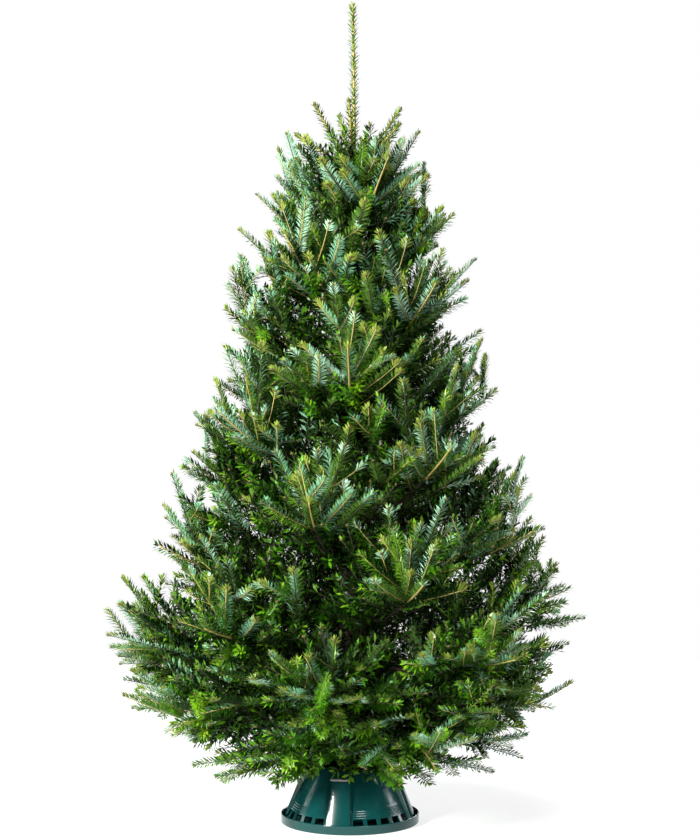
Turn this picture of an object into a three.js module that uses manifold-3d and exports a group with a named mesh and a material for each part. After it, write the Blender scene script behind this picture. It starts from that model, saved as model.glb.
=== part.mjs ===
// A cut Christmas fir, about 1.8 m tall, held by four clamp screws in a moulded plastic stand.
// The trunk runs whole from its flat cut, in the stand's water bucket, to the foot of the leader. The lower
// boughs are bare limbs that end where they enter a mass of foliage, and the upper masses meet the trunk.
// Each mass is one stem whose side twigs branch by rule, and every twig ends in a toothed spray that stands
// for a fan of shoots.
// Millimetres, +Z up. The origin is the centre of the stand's flat underside, and the tree's front is -Y.
import * as THREE from "three";
import { mergeVertices } from "three/addons/utils/BufferGeometryUtils.js";
import Module from "manifold-3d";

const wasm = await Module();
wasm.setup();

// ---- Driving dimensions -------------------------------------------------------------------------

const TREE_TOP = 1819;
const GAP = 0.3; // left between pieces that meet

const TRAY = { radius: 153, wall: 3.5, floor: 5, height: 20 };
const SKIRT = {
  height: 125,
  coneFoot: 146,
  coneNeck: 79,
  buttressFoot: 148.5,
  buttressNeck: 99,
  wall: 3.4,
  mouth: 64,
  halfWidthDeg: 11, // half of what one buttress spans
  edgeDeg: 0.9, // what each of its side faces spans
  wallDeg: 1.8, // how thick its side walls are, as an angle
  firstDeg: -101, // the front buttress stands a little left of the front
  count: 4,
};
const NOTCH = { perPanel: 5, pitchDeg: 13.3, widthDeg: 9.6, top: 28, deep: 60 };
const BUCKET = { foot: 62, mouth: 74, top: 100, wall: 3 };
const SCREW = {
  radius: 4,
  height: 112,
  overhang: 15,
  barRadius: 3.5,
  barHalf: 21,
  hole: 4.7,
  holeSpan: [80, 130], // distances from the axis between which the buttress is bored
  startInside: 5, // how deep in the trunk the shank starts before it is cut back to the bark
};

const TRUNK = {
  foot: 36,
  top: 7,
  flare: 4,
  flareHeight: 60,
  bottom: TRAY.floor + BUCKET.wall, // the cut face stands on the bucket's floor
  tip: 1440,
  lean: 10,
  flareLevels: [28, 68],
  straightFrom: 260,
};
const LIMB = { share: 0.28, more: 3.4, thickest: 12, tip: 2.6 }; // a bough's radius, from the trunk's there
const LEADER = { bend: -4, bareShare: 0.16 };
// The whorl of shoots round the leader's foot. Every other one is steeper.
const WHORL = { count: 7, firstDeg: -97, reach: [112, 140], rise: [160, 92], foot: 8, bareShare: 0.15 };

// How far the crown reaches from the trunk's axis (first number) at each height (second number).
const OUTLINE = [
  [262, 118], [400, 165], [470, 262], [530, 370], [522, 500], [455, 630], [398, 790],
  [345, 930], [300, 1080], [262, 1220], [190, 1400], [160, 1490],
];
// How steeply a bough climbs on the whole, and at its tip, by the height of its tip.
const CLIMB = {
  height: [118, 250, 400, 600, 900, 1200, 1400],
  mean: [-13, -2, 6, 16, 28, 38, 48],
  tip: [-42, -12, 14, 28, 39, 47, 55],
};

const CROWN = {
  boughs: 38,
  turnDeg: 137.5, // from one bough to the next above it
  firstDeg: 244,
  limbs: 13, // the lowest ones show a bare limb before their foliage starts
  limbShare: 0.34, // of such a bough that is bare
  lift: 40, // how far the middle of a mass's own space lies over its bough
  flatness: 1.7, // heights count this much more than widths where masses share out their space
  turnVary: 0.2, // radians
  reachLeast: 0.94,
  reachVary: 0.07,
  sway: 0.24, // radians by which a bough's tip may leave its first direction, both sides together
  evenness: 130, // the more of this, the closer the upper boughs stand
  leftSwell: 0.015, // the left side reaches a little further than the right
  seed: 2024,
};
// The stem of a mass is a brush: between its stations a tooth stands on each of four faces, for a side shoot.
const BRUSH = {
  bareShare: 0.06, // of a stem that goes on from a bare limb
  offTrunk: 45, // how far from the trunk's bark the teeth start on any other stem
  shortest: 20,
  pitch: 48, // between its stations
  openDeg: 50, // between a tooth and the stem
  ratio: 0.75, // a tooth against what is left of the stem
  tipTooth: 34, // the shortest, at the tip
  longest: 190,
  roomShare: 0.9, // of the way out to where the mass's own space ends
  uneven: 0.3,
  half: 13,
  high: 13,
  corners: [[-0.87, -0.5], [-0.87, 0.5], [0, 1], [0.87, 0.5], [0.87, -0.5]],
  teethDeg: [172, 122, 58, 8, null], // the way that the tooth on each face leans, and none underneath
};
// A side twig ends in a blade: a tooth on either hand.
const BLADE = {
  unit: 150, // toothed length
  teeth: 3,
  openDeg: 50,
  reach: 58,
  half: 11,
  high: 14,
  corners: [[-1, 0], [0, 1], [1, 0]],
  teethDeg: [180, 0, null],
};
// A single shoot has teeth all round.
const ROUND = { corners: [[-1, 0], [0, -1], [1, 0], [0, 1]], teethDeg: [225, 315, 45, 135] };
const SHOOT = { ...ROUND, teeth: 4, openDeg: 38, reach: 30, half: 7, high: 7 };
const LEADER_SHOOT = { ...ROUND, teeth: 8, openDeg: 28, reach: 24, half: 4.5, high: 4.5 };
const TIP_SHARE = 0.6; // the point at a tip against the teeth there
const SLIMMEST = 0.55; // the teeth at a tip against the first ones
const THINNEST = 0.5; // the toothed stem at its tip against its first station
const AXIS_FROM = 0.12; // share of a bough's reach from which its own space is measured
const HALVINGS = 7; // steps of each search for how far something can reach
const TWIG = {
  stem: 3, // thickness at the needles
  ratio: 0.75, // a side twig against what is left of its parent and one blade more
  nodes: [0.06, 0.4], // shares of the stem's length where they stand, one on either hand
  openDeg: 54, // between a side twig and its parent
  openVaryDeg: 8,
  rollDeg: [4, 38], // how far the twigs of every other node leave the fan upwards
  rollVaryDeg: 12,
  thicken: 0.008, // what its foot gains, as a share of its length
  bareLeast: 0.3, // the least share of its length that is bare
  tipRoom: 0.3, // how much of its last teeth has to stay in the mass's own space
  curl: 0.14, // how far a twig bends back towards its parent's way, as a share of its length
  rise: 0.08, // how far it bends up
  clear: 0.6, // kept from another piece
  least: 100, // a shorter one is left out
  tries: [1, 0.85, 0.7], // shares of its length at which a twig is tried
  shared: 400, // mm3 that two twigs may have in common at their roots
};

const COLOURS = {
  bark: { color: 0x5b4433, roughness: 0.9, metalness: 0 },
  needles: { color: 0x35551f, roughness: 0.6, metalness: 0 },
  plastic: { color: 0x0c4a44, roughness: 0.28, metalness: 0 },
  steel: { color: 0xa9adb0, roughness: 0.35, metalness: 0.9 },
};

// ---- Small tools --------------------------------------------------------------------------------

const radians = THREE.MathUtils.degToRad;
const mix = THREE.MathUtils.lerp;
const UP = new THREE.Vector3(0, 0, 1);
const ACROSS = new THREE.Vector3(1, 0, 0);
const AWAY = new THREE.Vector3(0, 1, 0);
const FULL_TURN = 2 * Math.PI;

// The value at x of the broken line through the points (xs, ys), held level past its ends.
function along(x, xs, ys) {
  if (x <= xs[0]) return ys[0];
  for (let i = 1; i < xs.length; i++) {
    if (x <= xs[i]) return mix(ys[i - 1], ys[i], (x - xs[i - 1]) / (xs[i] - xs[i - 1]));
  }
  return ys[ys.length - 1];
}

// Numbers from `first` to `last` in equal steps, both ends included.
function spread(first, last, steps) {
  return Array.from({ length: steps + 1 }, (_, i) => mix(first, last, i / steps));
}

// The Park-Miller generator: numbers from 0 to 1, the same for the same seed.
function makeRandom(seed) {
  let state = seed;
  return () => {
    state = (state * 16807) % 2147483647;
    return state / 2147483647;
  };
}

// A point plus `amount` times a direction, and so on for any more such pairs.
function offset(point, ...pairs) {
  const moved = point.clone();
  for (let i = 0; i < pairs.length; i += 2) moved.addScaledVector(pairs[i], pairs[i + 1]);
  return moved;
}

// Points round a centre at these angles, in the plane of two directions.
function ring(centre, side, over, radius, turns) {
  return turns.map((turn) => offset(centre, side, radius * Math.cos(turn), over, radius * Math.sin(turn)));
}

// The direction that lies at an angle from `first` towards `second`, which is square to it.
function between(first, second, angle) {
  return offset(first.clone().multiplyScalar(Math.cos(angle)), second, Math.sin(angle));
}

// The two directions square to `way`: to its side, and over it on the side of `up`.
function squareTo(way, up) {
  const side = new THREE.Vector3().crossVectors(way, up).normalize();
  return [side, new THREE.Vector3().crossVectors(side, way).normalize()];
}

// A closed mesh of points and triangles as a solid, turned the right way out.
function solidFrom(points, triangles) {
  const vertProperties = new Float32Array(points.flatMap((p) => [p.x, p.y, p.z]));
  const build = (list) => {
    const triVerts = new Uint32Array(list.flat());
    return new wasm.Manifold(new wasm.Mesh({ numProp: 3, vertProperties, triVerts }));
  };
  const made = build(triangles);
  return made.volume() < 0 ? build(triangles.map(([a, b, c]) => [a, c, b])) : made;
}

// A three.js geometry as a solid.
function solidOf(geometry) {
  const bare = geometry.index ? geometry.toNonIndexed() : geometry.clone();
  bare.deleteAttribute("normal");
  bare.deleteAttribute("uv");
  const merged = mergeVertices(bare, 1e-3);
  const vertProperties = merged.attributes.position.array;
  const triVerts = new Uint32Array(merged.index.array);
  return new wasm.Manifold(new wasm.Mesh({ numProp: 3, vertProperties, triVerts }));
}

// A solid as a three.js geometry.
function geometryOf(solid) {
  const mesh = solid.getMesh();
  const places = new Float32Array(mesh.numVert * 3);
  for (let i = 0; i < mesh.numVert; i++) {
    places.set(mesh.vertProperties.subarray(i * mesh.numProp, i * mesh.numProp + 3), i * 3);
  }
  const geometry = new THREE.BufferGeometry();
  geometry.setAttribute("position", new THREE.BufferAttribute(places, 3));
  geometry.setIndex(new THREE.BufferAttribute(mesh.triVerts, 1));
  geometry.computeVertexNormals();
  return geometry;
}

// The largest body of a solid: what a cut leaves loose is dropped.
function largestBody(solid) {
  return solid.decompose().sort((a, b) => b.volume() - a.volume())[0];
}

// Triangles that join rings of `size` points into a tube. Its ends are closed where `capped`.
function tubeFaces(rings, size, capped) {
  const faces = [];
  for (let r = 0; r + 1 < rings; r++) {
    for (let k = 0; k < size; k++) {
      const a = r * size + k;
      const b = r * size + ((k + 1) % size);
      faces.push([a, b, b + size], [a, b + size, a + size]);
    }
  }
  const last = (rings - 1) * size;
  for (let k = 1; capped && k + 1 < size; k++) {
    faces.push([0, k + 1, k], [last, last + k, last + k + 1]);
  }
  return faces;
}

// ---- The stand ----------------------------------------------------------------------------------

// A turned piece about +Z from a closed profile of [radius, height] points, listed anticlockwise.
function turned(profile, segments) {
  const loop = [...profile, profile[0]].map(([r, z]) => new THREE.Vector2(r, z));
  return solidOf(new THREE.LatheGeometry(loop, segments).rotateX(Math.PI / 2));
}

// A flat floor disc with an upright rim round it.
function makeTray() {
  const { radius, wall, floor, height } = TRAY;
  const inside = radius - wall;
  return turned([[0, 0], [radius, 0], [radius, height], [inside, height], [inside, floor], [0, floor]], 36);
}

// The water bucket that the trunk's cut foot stands in.
function makeBucket() {
  const { foot, mouth, top, wall } = BUCKET;
  const bottom = TRAY.floor;
  const outside = [[0, bottom], [foot, bottom], [mouth, top]];
  const inside = [[mouth - wall, top], [foot - wall, bottom + wall], [0, bottom + wall]];
  return turned([...outside, ...inside], 18);
}

// The angle from the middle of the nearest buttress, in degrees, always positive.
function fromButtress(deg) {
  const step = 360 / SKIRT.count;
  const turn = (((deg - SKIRT.firstDeg) % step) + step) % step;
  return Math.min(turn, step - turn);
}

// The skirt's outer radius at an angle and height. The cone and the steeper buttress are mixed across a
// narrow side face, which `inset` moves towards the buttress's middle.
function skirtRadius(deg, z, inset) {
  const share = (z - TRAY.floor) / (SKIRT.height - TRAY.floor);
  const cone = mix(SKIRT.coneFoot, SKIRT.coneNeck, share);
  const buttress = mix(SKIRT.buttressFoot, SKIRT.buttressNeck, share);
  const edge = SKIRT.halfWidthDeg + SKIRT.edgeDeg - inset;
  const raised = THREE.MathUtils.clamp((edge - fromButtress(deg)) / SKIRT.edgeDeg, 0, 1);
  return mix(cone, buttress, raised);
}

// A block that cuts one drain notch through the skirt's foot.
function notchCutter(deg) {
  const width = 2 * SKIRT.coneFoot * Math.sin(radians(NOTCH.widthDeg / 2));
  const block = new THREE.BoxGeometry(NOTCH.deep, width, 2 * (NOTCH.top - TRAY.floor));
  block.translate(SKIRT.coneFoot, 0, TRAY.floor);
  return solidOf(block.rotateZ(radians(deg)));
}

// A round rod that points away from the axis at one height.
function radialRod(deg, from, to, radius, height) {
  const rod = new THREE.CylinderGeometry(radius, radius, to - from, 8);
  rod.rotateZ(-Math.PI / 2).translate((from + to) / 2, 0, height);
  return solidOf(rod.rotateZ(radians(deg)));
}

// A cone-shaped skirt with four buttresses, a flat top plate round its mouth, and notches along its foot.
function makeSkirt() {
  const { wall, height, mouth, halfWidthDeg, edgeDeg, wallDeg, firstDeg, count } = SKIRT;
  const step = 360 / count;
  const edge = halfWidthDeg + edgeDeg;
  const nearEdge = [0, edgeDeg, wallDeg, wallDeg + edgeDeg];
  const turns = [];
  for (let q = 0; q < count; q++) {
    const middle = firstDeg + q * step;
    turns.push(...nearEdge.map((d) => middle - edge + d), middle);
    turns.push(...nearEdge.map((d) => middle + edge - d).reverse());
    turns.push(...spread(middle + edge, middle + step - edge, 5).slice(1, -1));
  }
  const points = turns.flatMap((deg) => {
    const at = (r, z) => new THREE.Vector3(r * Math.cos(radians(deg)), r * Math.sin(radians(deg)), z);
    return [
      ...[TRAY.floor, height].map((z) => at(skirtRadius(deg, z, 0), z)),
      at(mouth, height),
      at(mouth, height - wall),
      ...[height - wall, TRAY.floor].map((z) => at(skirtRadius(deg, z, wallDeg) - wall, z)),
    ];
  });
  const size = points.length / turns.length;
  const closing = turns.length * size;
  const wrap = (list) => list.map((index) => index % closing);
  let shell = solidFrom(points, tubeFaces(turns.length + 1, size, false).map(wrap));
  for (let q = 0; q < count; q++) {
    const buttress = firstDeg + q * step;
    for (let k = 0; k < NOTCH.perPanel; k++) {
      const turn = (k - (NOTCH.perPanel - 1) / 2) * NOTCH.pitchDeg;
      shell = shell.subtract(notchCutter(buttress + step / 2 + turn));
    }
    shell = shell.subtract(radialRod(buttress, ...SCREW.holeSpan, SCREW.hole, SCREW.height));
  }
  return shell;
}

// A clamp screw: a shank from the trunk's bark out through its buttress, with a cross bar to turn it by.
function makeScrew(deg) {
  const start = trunkRadius(SCREW.height) - SCREW.startInside;
  const end = skirtRadius(deg, SCREW.height, 0) + SCREW.overhang;
  const bar = new THREE.CylinderGeometry(SCREW.barRadius, SCREW.barRadius, 2 * SCREW.barHalf, 6);
  bar.translate(end, 0, SCREW.height);
  const shank = radialRod(deg, start, end + 1, SCREW.radius, SCREW.height);
  return largestBody(shank.add(solidOf(bar.rotateZ(radians(deg)))).subtract(trunkCutter));
}

// ---- Trunk and boughs ---------------------------------------------------------------------------

function trunkRadius(z) {
  const straight = mix(TRUNK.foot, TRUNK.top, (z - TRUNK.bottom) / (TRUNK.tip - TRUNK.bottom));
  return straight + TRUNK.flare * Math.max(0, 1 - (z - TRUNK.bottom) / TRUNK.flareHeight) ** 2;
}

function trunkCentre(z) {
  return new THREE.Vector3((TRUNK.lean * z) / TRUNK.tip, 0, z);
}

// The trunk as a stack of rings, thicker by `swell` all round.
function makeTrunk(swell) {
  const levels = [TRUNK.bottom, ...TRUNK.flareLevels, ...spread(TRUNK.straightFrom, TRUNK.tip, 6)];
  const turns = spread(0, FULL_TURN, 10).slice(0, -1);
  const points = levels.flatMap((z) => ring(trunkCentre(z), ACROSS, AWAY, trunkRadius(z) + swell, turns));
  return solidFrom(points, tubeFaces(levels.length, turns.length, true));
}

// The [reach, height] on the outline below which lies this share of the crown's skin.
function outlineAt(share) {
  const reaches = OUTLINE.map((p) => p[0]);
  const heights = OUTLINE.map((p) => p[1]);
  const sums = [0];
  for (let i = 1; i < OUTLINE.length; i++) {
    const length = Math.hypot(reaches[i] - reaches[i - 1], heights[i] - heights[i - 1]);
    sums.push(sums[i - 1] + length * (reaches[i] + reaches[i - 1] + 2 * CROWN.evenness));
  }
  const target = share * sums[sums.length - 1];
  return [along(target, sums, reaches), along(target, sums, heights)];
}

// Every bough of the crown, lowest first, each with its tip on the outline.
function planBoughs() {
  const random = makeRandom(CROWN.seed);
  return Array.from({ length: CROWN.boughs }, (_, i) => {
    const [reachHere, tipZ] = outlineAt((i + 0.5) / CROWN.boughs);
    const azimuth = radians(CROWN.firstDeg + i * CROWN.turnDeg) + CROWN.turnVary * (random() - 0.5);
    const share = (1 - CROWN.leftSwell * Math.cos(azimuth)) * (CROWN.reachLeast + CROWN.reachVary * random());
    const reach = reachHere * share;
    const mean = Math.tan(radians(along(tipZ, CLIMB.height, CLIMB.mean)));
    const end = Math.tan(radians(along(tipZ, CLIMB.height, CLIMB.tip)));
    const sway = CROWN.sway * (random() - 0.5);
    return { azimuth, reach, start: 2 * mean - end, end, baseZ: tipZ - reach * mean, sway };
  });
}

// The point at a share t of a bough's reach: a parabola from the trunk to the tip that sways a little.
function axisPoint(bough, t) {
  const turn = bough.azimuth + bough.sway * t * t;
  const climbed = bough.reach * (bough.start * t + ((bough.end - bough.start) * t * t) / 2);
  const out = new THREE.Vector3(Math.cos(turn), Math.sin(turn), 0);
  return offset(trunkCentre(bough.baseZ), out, bough.reach * t, UP, climbed);
}

// The same point with the way that the axis runs there.
function axisStation(bough, t) {
  const step = 1e-3;
  const point = axisPoint(bough, t);
  return { point, way: axisPoint(bough, t + step).sub(point).normalize() };
}

function limbRadius(bough, t) {
  const atTrunk = Math.min(LIMB.share * trunkRadius(bough.baseZ) + LIMB.more, LIMB.thickest);
  return mix(atTrunk, LIMB.tip, Math.sqrt(t));
}

// A bare limb from the trunk's bark to where its foliage starts.
function makeLimb(bough) {
  const turns = spread(0, FULL_TURN, 6).slice(0, -1);
  const shares = [0, 0.5, 1].map((share) => share * CROWN.limbShare);
  const points = shares.flatMap((t) => {
    const { point, way } = axisStation(bough, t);
    return ring(point, ...squareTo(way, UP), limbRadius(bough, t), turns);
  });
  return largestBody(solidFrom(points, tubeFaces(shares.length, turns.length, true)).subtract(trunkCutter));
}

// ---- Foliage ------------------------------------------------------------------------------------

// A toothed piece on its stem. The stations are points with the way the stem runs there. Up to the one
// numbered `bare` the stem is a plain twig, and from there a tooth stands on each of the form's toothed
// faces. `toothLength` gives its length from its foot, its way and the share of the toothed part behind it.
function makeToothed(stations, up, bare, thick, form, toothLength) {
  const last = stations.length - 1;
  const size = form.corners.length;
  const points = [];
  const faces = [];
  stations.forEach(({ point, way }, i) => {
    const [side, over] = squareTo(way, up);
    const slimmer = mix(1, THINNEST, Math.max(0, (i - bare) / (last - bare)));
    const stem = mix(thick, TWIG.stem, Math.min(1, i / bare));
    const [half, high] = i < bare ? [stem, stem] : [form.half * slimmer, form.high * slimmer];
    points.push(...form.corners.map(([x, y]) => offset(point, side, half * x, over, high * y)));
  });
  for (let i = 0; i < last; i++) {
    const { point, way } = stations[i];
    const [side, over] = squareTo(way, up);
    form.teethDeg.forEach((deg, k) => {
      const a = size * i + k;
      const b = size * i + ((k + 1) % size);
      if (i < bare || deg === null) {
        faces.push([a, b, b + size], [a, b + size, a + size]);
        return;
      }
      const middle = point.clone().lerp(stations[i + 1].point, 0.5);
      const outward = between(side, over, radians(deg));
      const toothWay = between(way, outward, radians(form.openDeg));
      const tooth = points.length;
      points.push(offset(middle, toothWay, toothLength(middle, toothWay, (i - bare) / (last - bare))));
      faces.push([a, b, tooth], [b, b + size, tooth], [b + size, a + size, tooth], [a + size, a, tooth]);
    });
  }
  const end = points.length;
  const { point, way } = stations[last];
  points.push(offset(point, way, TIP_SHARE * toothLength(point, way, 1)));
  for (let k = 0; k < size; k++) faces.push([size * last + k, size * last + ((k + 1) % size), end]);
  for (let k = 1; k + 1 < size; k++) faces.push([0, k + 1, k]);
  return solidFrom(points, faces);
}

// A twig as a solid. It is bare up to the share `from` of its length, and toothed from there to its tip.
function makeTwig(twig, length, form, from) {
  const bare = from > 0.4 ? 2 : 1;
  const shares = [...spread(0, from, bare), ...spread(from, 1, form.teeth).slice(1)];
  const stations = shares.map((s) => twigStation(twig, length, s));
  const toothLength = (foot, way, share) => form.reach * mix(1, SLIMMEST, share);
  return makeToothed(stations, twig.up, bare, TWIG.stem + TWIG.thicken * length, form, toothLength);
}

// A twig's station at a share s of its length: it bends more and more from its first way.
function twigStation({ root, start, bend }, length, s) {
  const point = offset(root, start, s * length, bend, s * s * length);
  return { point, way: offset(start, bend, 2 * s).normalize() };
}

// The side twigs of a stem: at each node one on either hand, which leave the fan in turn a little and a lot.
function sideTwigs(stationAt, length, random) {
  const vary = (amount) => amount * (2 * random() - 1);
  return TWIG.nodes.flatMap((share, node) => {
    const { point, way } = stationAt(share);
    const [side, over] = squareTo(way, UP);
    return [-1, 1].map((hand) => {
      const open = radians(TWIG.openDeg + vary(TWIG.openVaryDeg));
      const roll = radians(TWIG.rollDeg[(node + (hand > 0 ? 1 : 0)) % 2] + vary(TWIG.rollVaryDeg));
      const outward = between(side.clone().multiplyScalar(hand), over, roll);
      return {
        root: point,
        start: between(way, outward, open),
        bend: offset(way.clone().multiplyScalar(TWIG.curl), UP, TWIG.rise),
        up: between(over, side, -hand * roll),
        length: TWIG.ratio * ((1 - share) * length + BLADE.unit),
      };
    });
  });
}

// ---- What each mass may fill --------------------------------------------------------------------

// A point with its height stretched, so that distances between such points favour flat spaces.
function stretched(point) {
  return new THREE.Vector3(point.x, point.y, point.z * CROWN.flatness);
}

const boughs = planBoughs();
const axes = boughs.map((bough) =>
  spread(AXIS_FROM, 1, 8).map((t) => stretched(offset(axisPoint(bough, t), UP, CROWN.lift))),
);

function distanceToAxis(point, axis) {
  const nearest = new THREE.Vector3();
  const gaps = axis.slice(1).map((end, k) => {
    new THREE.Line3(axis[k], end).closestPointToPoint(point, true, nearest);
    return nearest.distanceTo(point);
  });
  return Math.min(...gaps);
}

// A mass keeps to the space that lies nearer to its own bough than to any other, inside the outline.
function inOwnSpace(point, index) {
  const out = Math.hypot(point.x - trunkCentre(point.z).x, point.y);
  const limit = along(point.z, OUTLINE.map((p) => p[1]), OUTLINE.map((p) => p[0]));
  if (out > limit || point.z < OUTLINE[0][1]) return false;
  const place = stretched(point);
  const own = distanceToAxis(place, axes[index]);
  return axes.every((axis, i) => i === index || distanceToAxis(place, axis) > own);
}

// The largest length up to `most` at which `fits` still holds, found by halving.
function longest(most, fits) {
  let inside = 0;
  let outside = most;
  for (let halving = 0; halving < HALVINGS; halving++) {
    const middle = (inside + outside) / 2;
    if (fits(middle)) inside = middle;
    else outside = middle;
  }
  return inside;
}

// How far a mass's own space goes from a point in one direction.
function roomAround(point, way, index) {
  return longest(1.2 * BRUSH.longest, (length) => inOwnSpace(offset(point, way, length), index));
}

const placed = []; // every solid so far that foliage has to keep clear of

function place(solid, owner) {
  placed.push({ solid, owner, box: solid.boundingBox() });
}

// Whether a solid is clear of all that is placed, apart from what belongs to these owners.
function isClear(solid, ...owners) {
  const { min, max } = solid.boundingBox();
  const near = (box) => [0, 1, 2].every((k) => min[k] - 1 < box.max[k] && box.min[k] - 1 < max[k]);
  return placed.every((other) => {
    if (owners.includes(other.owner) || !near(other.box)) return true;
    return solid.minGap(other.solid, TWIG.clear) >= TWIG.clear;
  });
}

// ---- Growing a mass -----------------------------------------------------------------------------

// A mass's own stem: the outer part of its bough's axis, with teeth as long as their place lets them be.
function makeStem(index, from) {
  const bough = boughs[index];
  const random = makeRandom(CROWN.seed + 31 * (index + 1));
  const length = axisPoint(bough, from).distanceTo(axisPoint(bough, 1));
  const bareShare = from > 0 ? BRUSH.bareShare : (trunkRadius(bough.baseZ) + BRUSH.offTrunk) / length;
  const segments = Math.round(((1 - bareShare) * length) / BRUSH.pitch);
  const shares = [GAP / length, ...spread(bareShare, 1, segments)];
  const stations = shares.map((share) => axisStation(bough, mix(from, 1, share)));
  const toothLength = (foot, way, share) => {
    const rule = Math.min(BRUSH.longest, BRUSH.tipTooth + BRUSH.ratio * (1 - share) * length);
    const room = Math.max(BRUSH.roomShare * roomAround(foot, way, index), BRUSH.shortest);
    return Math.min(rule * (1 - BRUSH.uneven * random()), room);
  };
  const stem = makeToothed(stations, UP, 1, limbRadius(bough, from), BRUSH, toothLength);
  return { from, length, solid: largestBody(stem.subtract(trunkCutter)) };
}

// How long a twig can grow before its tip, with the last tooth, would leave the mass's own space.
function roomToGrow(twig, index) {
  return longest(twig.length, (length) => {
    const { point, way } = twigStation(twig, length, 1);
    return inOwnSpace(offset(point, way, TWIG.tipRoom * BLADE.reach), index);
  });
}

// The mass: its stem and the twigs that branch from it. A twig grows as far as the mass's own space lets it.
// One that would still touch another piece or a twig is tried shorter, and then left out.
function growMass(index) {
  const bough = boughs[index];
  const { from, length, solid } = stems[index];
  const random = makeRandom(CROWN.seed + 17 * (index + 1));
  const grown = [];
  sideTwigs((share) => axisStation(bough, mix(from, 1, share)), length, random).forEach((twig) => {
    const room = roomToGrow(twig, index);
    for (const reach of TWIG.tries.map((share) => share * room)) {
      if (reach < TWIG.least) return;
      const made = makeTwig(twig, reach, BLADE, Math.max(TWIG.bareLeast, 1 - BLADE.unit / reach));
      const tangled = grown.some((other) => made.intersect(other).volume() > TWIG.shared);
      if (tangled || !isClear(made, index)) continue;
      grown.push(made);
      return;
    }
  });
  return largestBody(grown.reduce((sum, part) => sum.add(part), solid));
}

// The top of the tree: the leader, with its needles close to an upright stem on the trunk's tip, and the
// whorl of shoots round its foot.
function makeTop() {
  const foot = trunkCentre(TRUNK.tip);
  const height = TREE_TOP - TRUNK.tip - GAP - TIP_SHARE * SLIMMEST * LEADER_SHOOT.reach;
  const lean = ACROSS.clone().multiplyScalar(LEADER.bend / height);
  const leader = { root: offset(foot, UP, GAP), start: UP, bend: lean, up: AWAY };
  const shoots = Array.from({ length: WHORL.count }, (_, i) => {
    const azimuth = radians(WHORL.firstDeg + (360 * i) / WHORL.count);
    const out = new THREE.Vector3(Math.cos(azimuth), Math.sin(azimuth), 0);
    const tip = offset(new THREE.Vector3(), out, WHORL.reach[i % 2], UP, WHORL.rise[i % 2]);
    const length = tip.length();
    const bend = offset(new THREE.Vector3(), UP, TWIG.rise, out, -TWIG.rise);
    const start = tip.divideScalar(length).sub(bend);
    const shoot = { root: offset(foot, UP, WHORL.foot), start, bend, up: UP };
    return makeTwig(shoot, length - TIP_SHARE * SLIMMEST * SHOOT.reach, SHOOT, WHORL.bareShare);
  });
  const stem = makeTwig(leader, height, LEADER_SHOOT, LEADER.bareShare);
  return shoots.reduce((sum, shoot) => sum.add(shoot), stem).subtract(trunkCutter);
}

// ---- Assembly -----------------------------------------------------------------------------------

const group = new THREE.Group();

function addNode(name, solid, look) {
  const mesh = new THREE.Mesh(geometryOf(solid), new THREE.MeshStandardMaterial(COLOURS[look]));
  mesh.name = name;
  group.add(mesh);
}

const twoDigits = (n) => String(n).padStart(2, "0");
const trunkCutter = makeTrunk(GAP);

addNode("stand_tray", makeTray(), "plastic");
addNode("stand_bucket", makeBucket(), "plastic");
const skirt = makeSkirt();
addNode("stand_skirt", skirt, "plastic");
place(skirt, "stand");
for (let q = 0; q < SKIRT.count; q++) {
  const screw = makeScrew(SKIRT.firstDeg + (q * 360) / SKIRT.count);
  addNode("clamp_screw_" + (q + 1), screw, "steel");
  place(screw, "stand");
}

const trunk = makeTrunk(0);
addNode("trunk", trunk, "bark");
const top = makeTop();
addNode("leader", top, "needles");
place(top, "top");

boughs.slice(0, CROWN.limbs).forEach((bough, i) => {
  const limb = makeLimb(bough);
  addNode("bough_" + twoDigits(i + 1), limb, "bark");
  place(limb, "limb " + i);
});

const stems = boughs.map((_, i) => makeStem(i, i < CROWN.limbs ? CROWN.limbShare : 0));
stems.forEach(({ solid }, i) => place(solid, i));
place(trunk, "trunk");
boughs.forEach((_, i) => {
  const mass = growMass(i);
  place(mass, i);
  addNode("foliage_" + twoDigits(i + 1), mass, "needles");
});

export default group;
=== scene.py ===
# %% [markdown]
# # A cut Christmas fir in its stand
# The real tree is a young fir, sawn off at the foot and clamped in a moulded plastic stand. What the eye
# sees is thousands of thin shoots, each one a brush of flat needles that are glossy green above and silvery
# below. The construction model holds the tree's bones: the trunk, the boughs, and one plain solid for each
# mass of foliage. Here every piece gets its real surface. Everything is in metres, with +Z up and the front
# towards -Y, in the same frame as the construction model.

import bpy
import numpy as np
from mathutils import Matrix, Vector


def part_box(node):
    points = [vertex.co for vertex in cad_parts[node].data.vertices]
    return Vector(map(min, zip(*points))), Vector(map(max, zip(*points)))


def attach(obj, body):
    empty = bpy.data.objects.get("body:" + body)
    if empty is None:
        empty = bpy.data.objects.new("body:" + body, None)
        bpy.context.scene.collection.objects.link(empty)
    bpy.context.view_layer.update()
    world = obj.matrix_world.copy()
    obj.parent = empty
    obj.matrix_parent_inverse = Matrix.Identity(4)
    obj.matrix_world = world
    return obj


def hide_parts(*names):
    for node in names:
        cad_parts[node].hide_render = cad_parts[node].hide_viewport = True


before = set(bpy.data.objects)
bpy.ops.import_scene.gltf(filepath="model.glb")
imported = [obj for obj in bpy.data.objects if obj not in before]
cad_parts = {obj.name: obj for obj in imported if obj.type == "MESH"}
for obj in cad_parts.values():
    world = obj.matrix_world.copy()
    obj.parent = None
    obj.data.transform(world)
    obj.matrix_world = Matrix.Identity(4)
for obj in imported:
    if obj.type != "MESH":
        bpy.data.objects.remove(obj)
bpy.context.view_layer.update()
print("nodes in the frame:", len(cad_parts))

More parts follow.
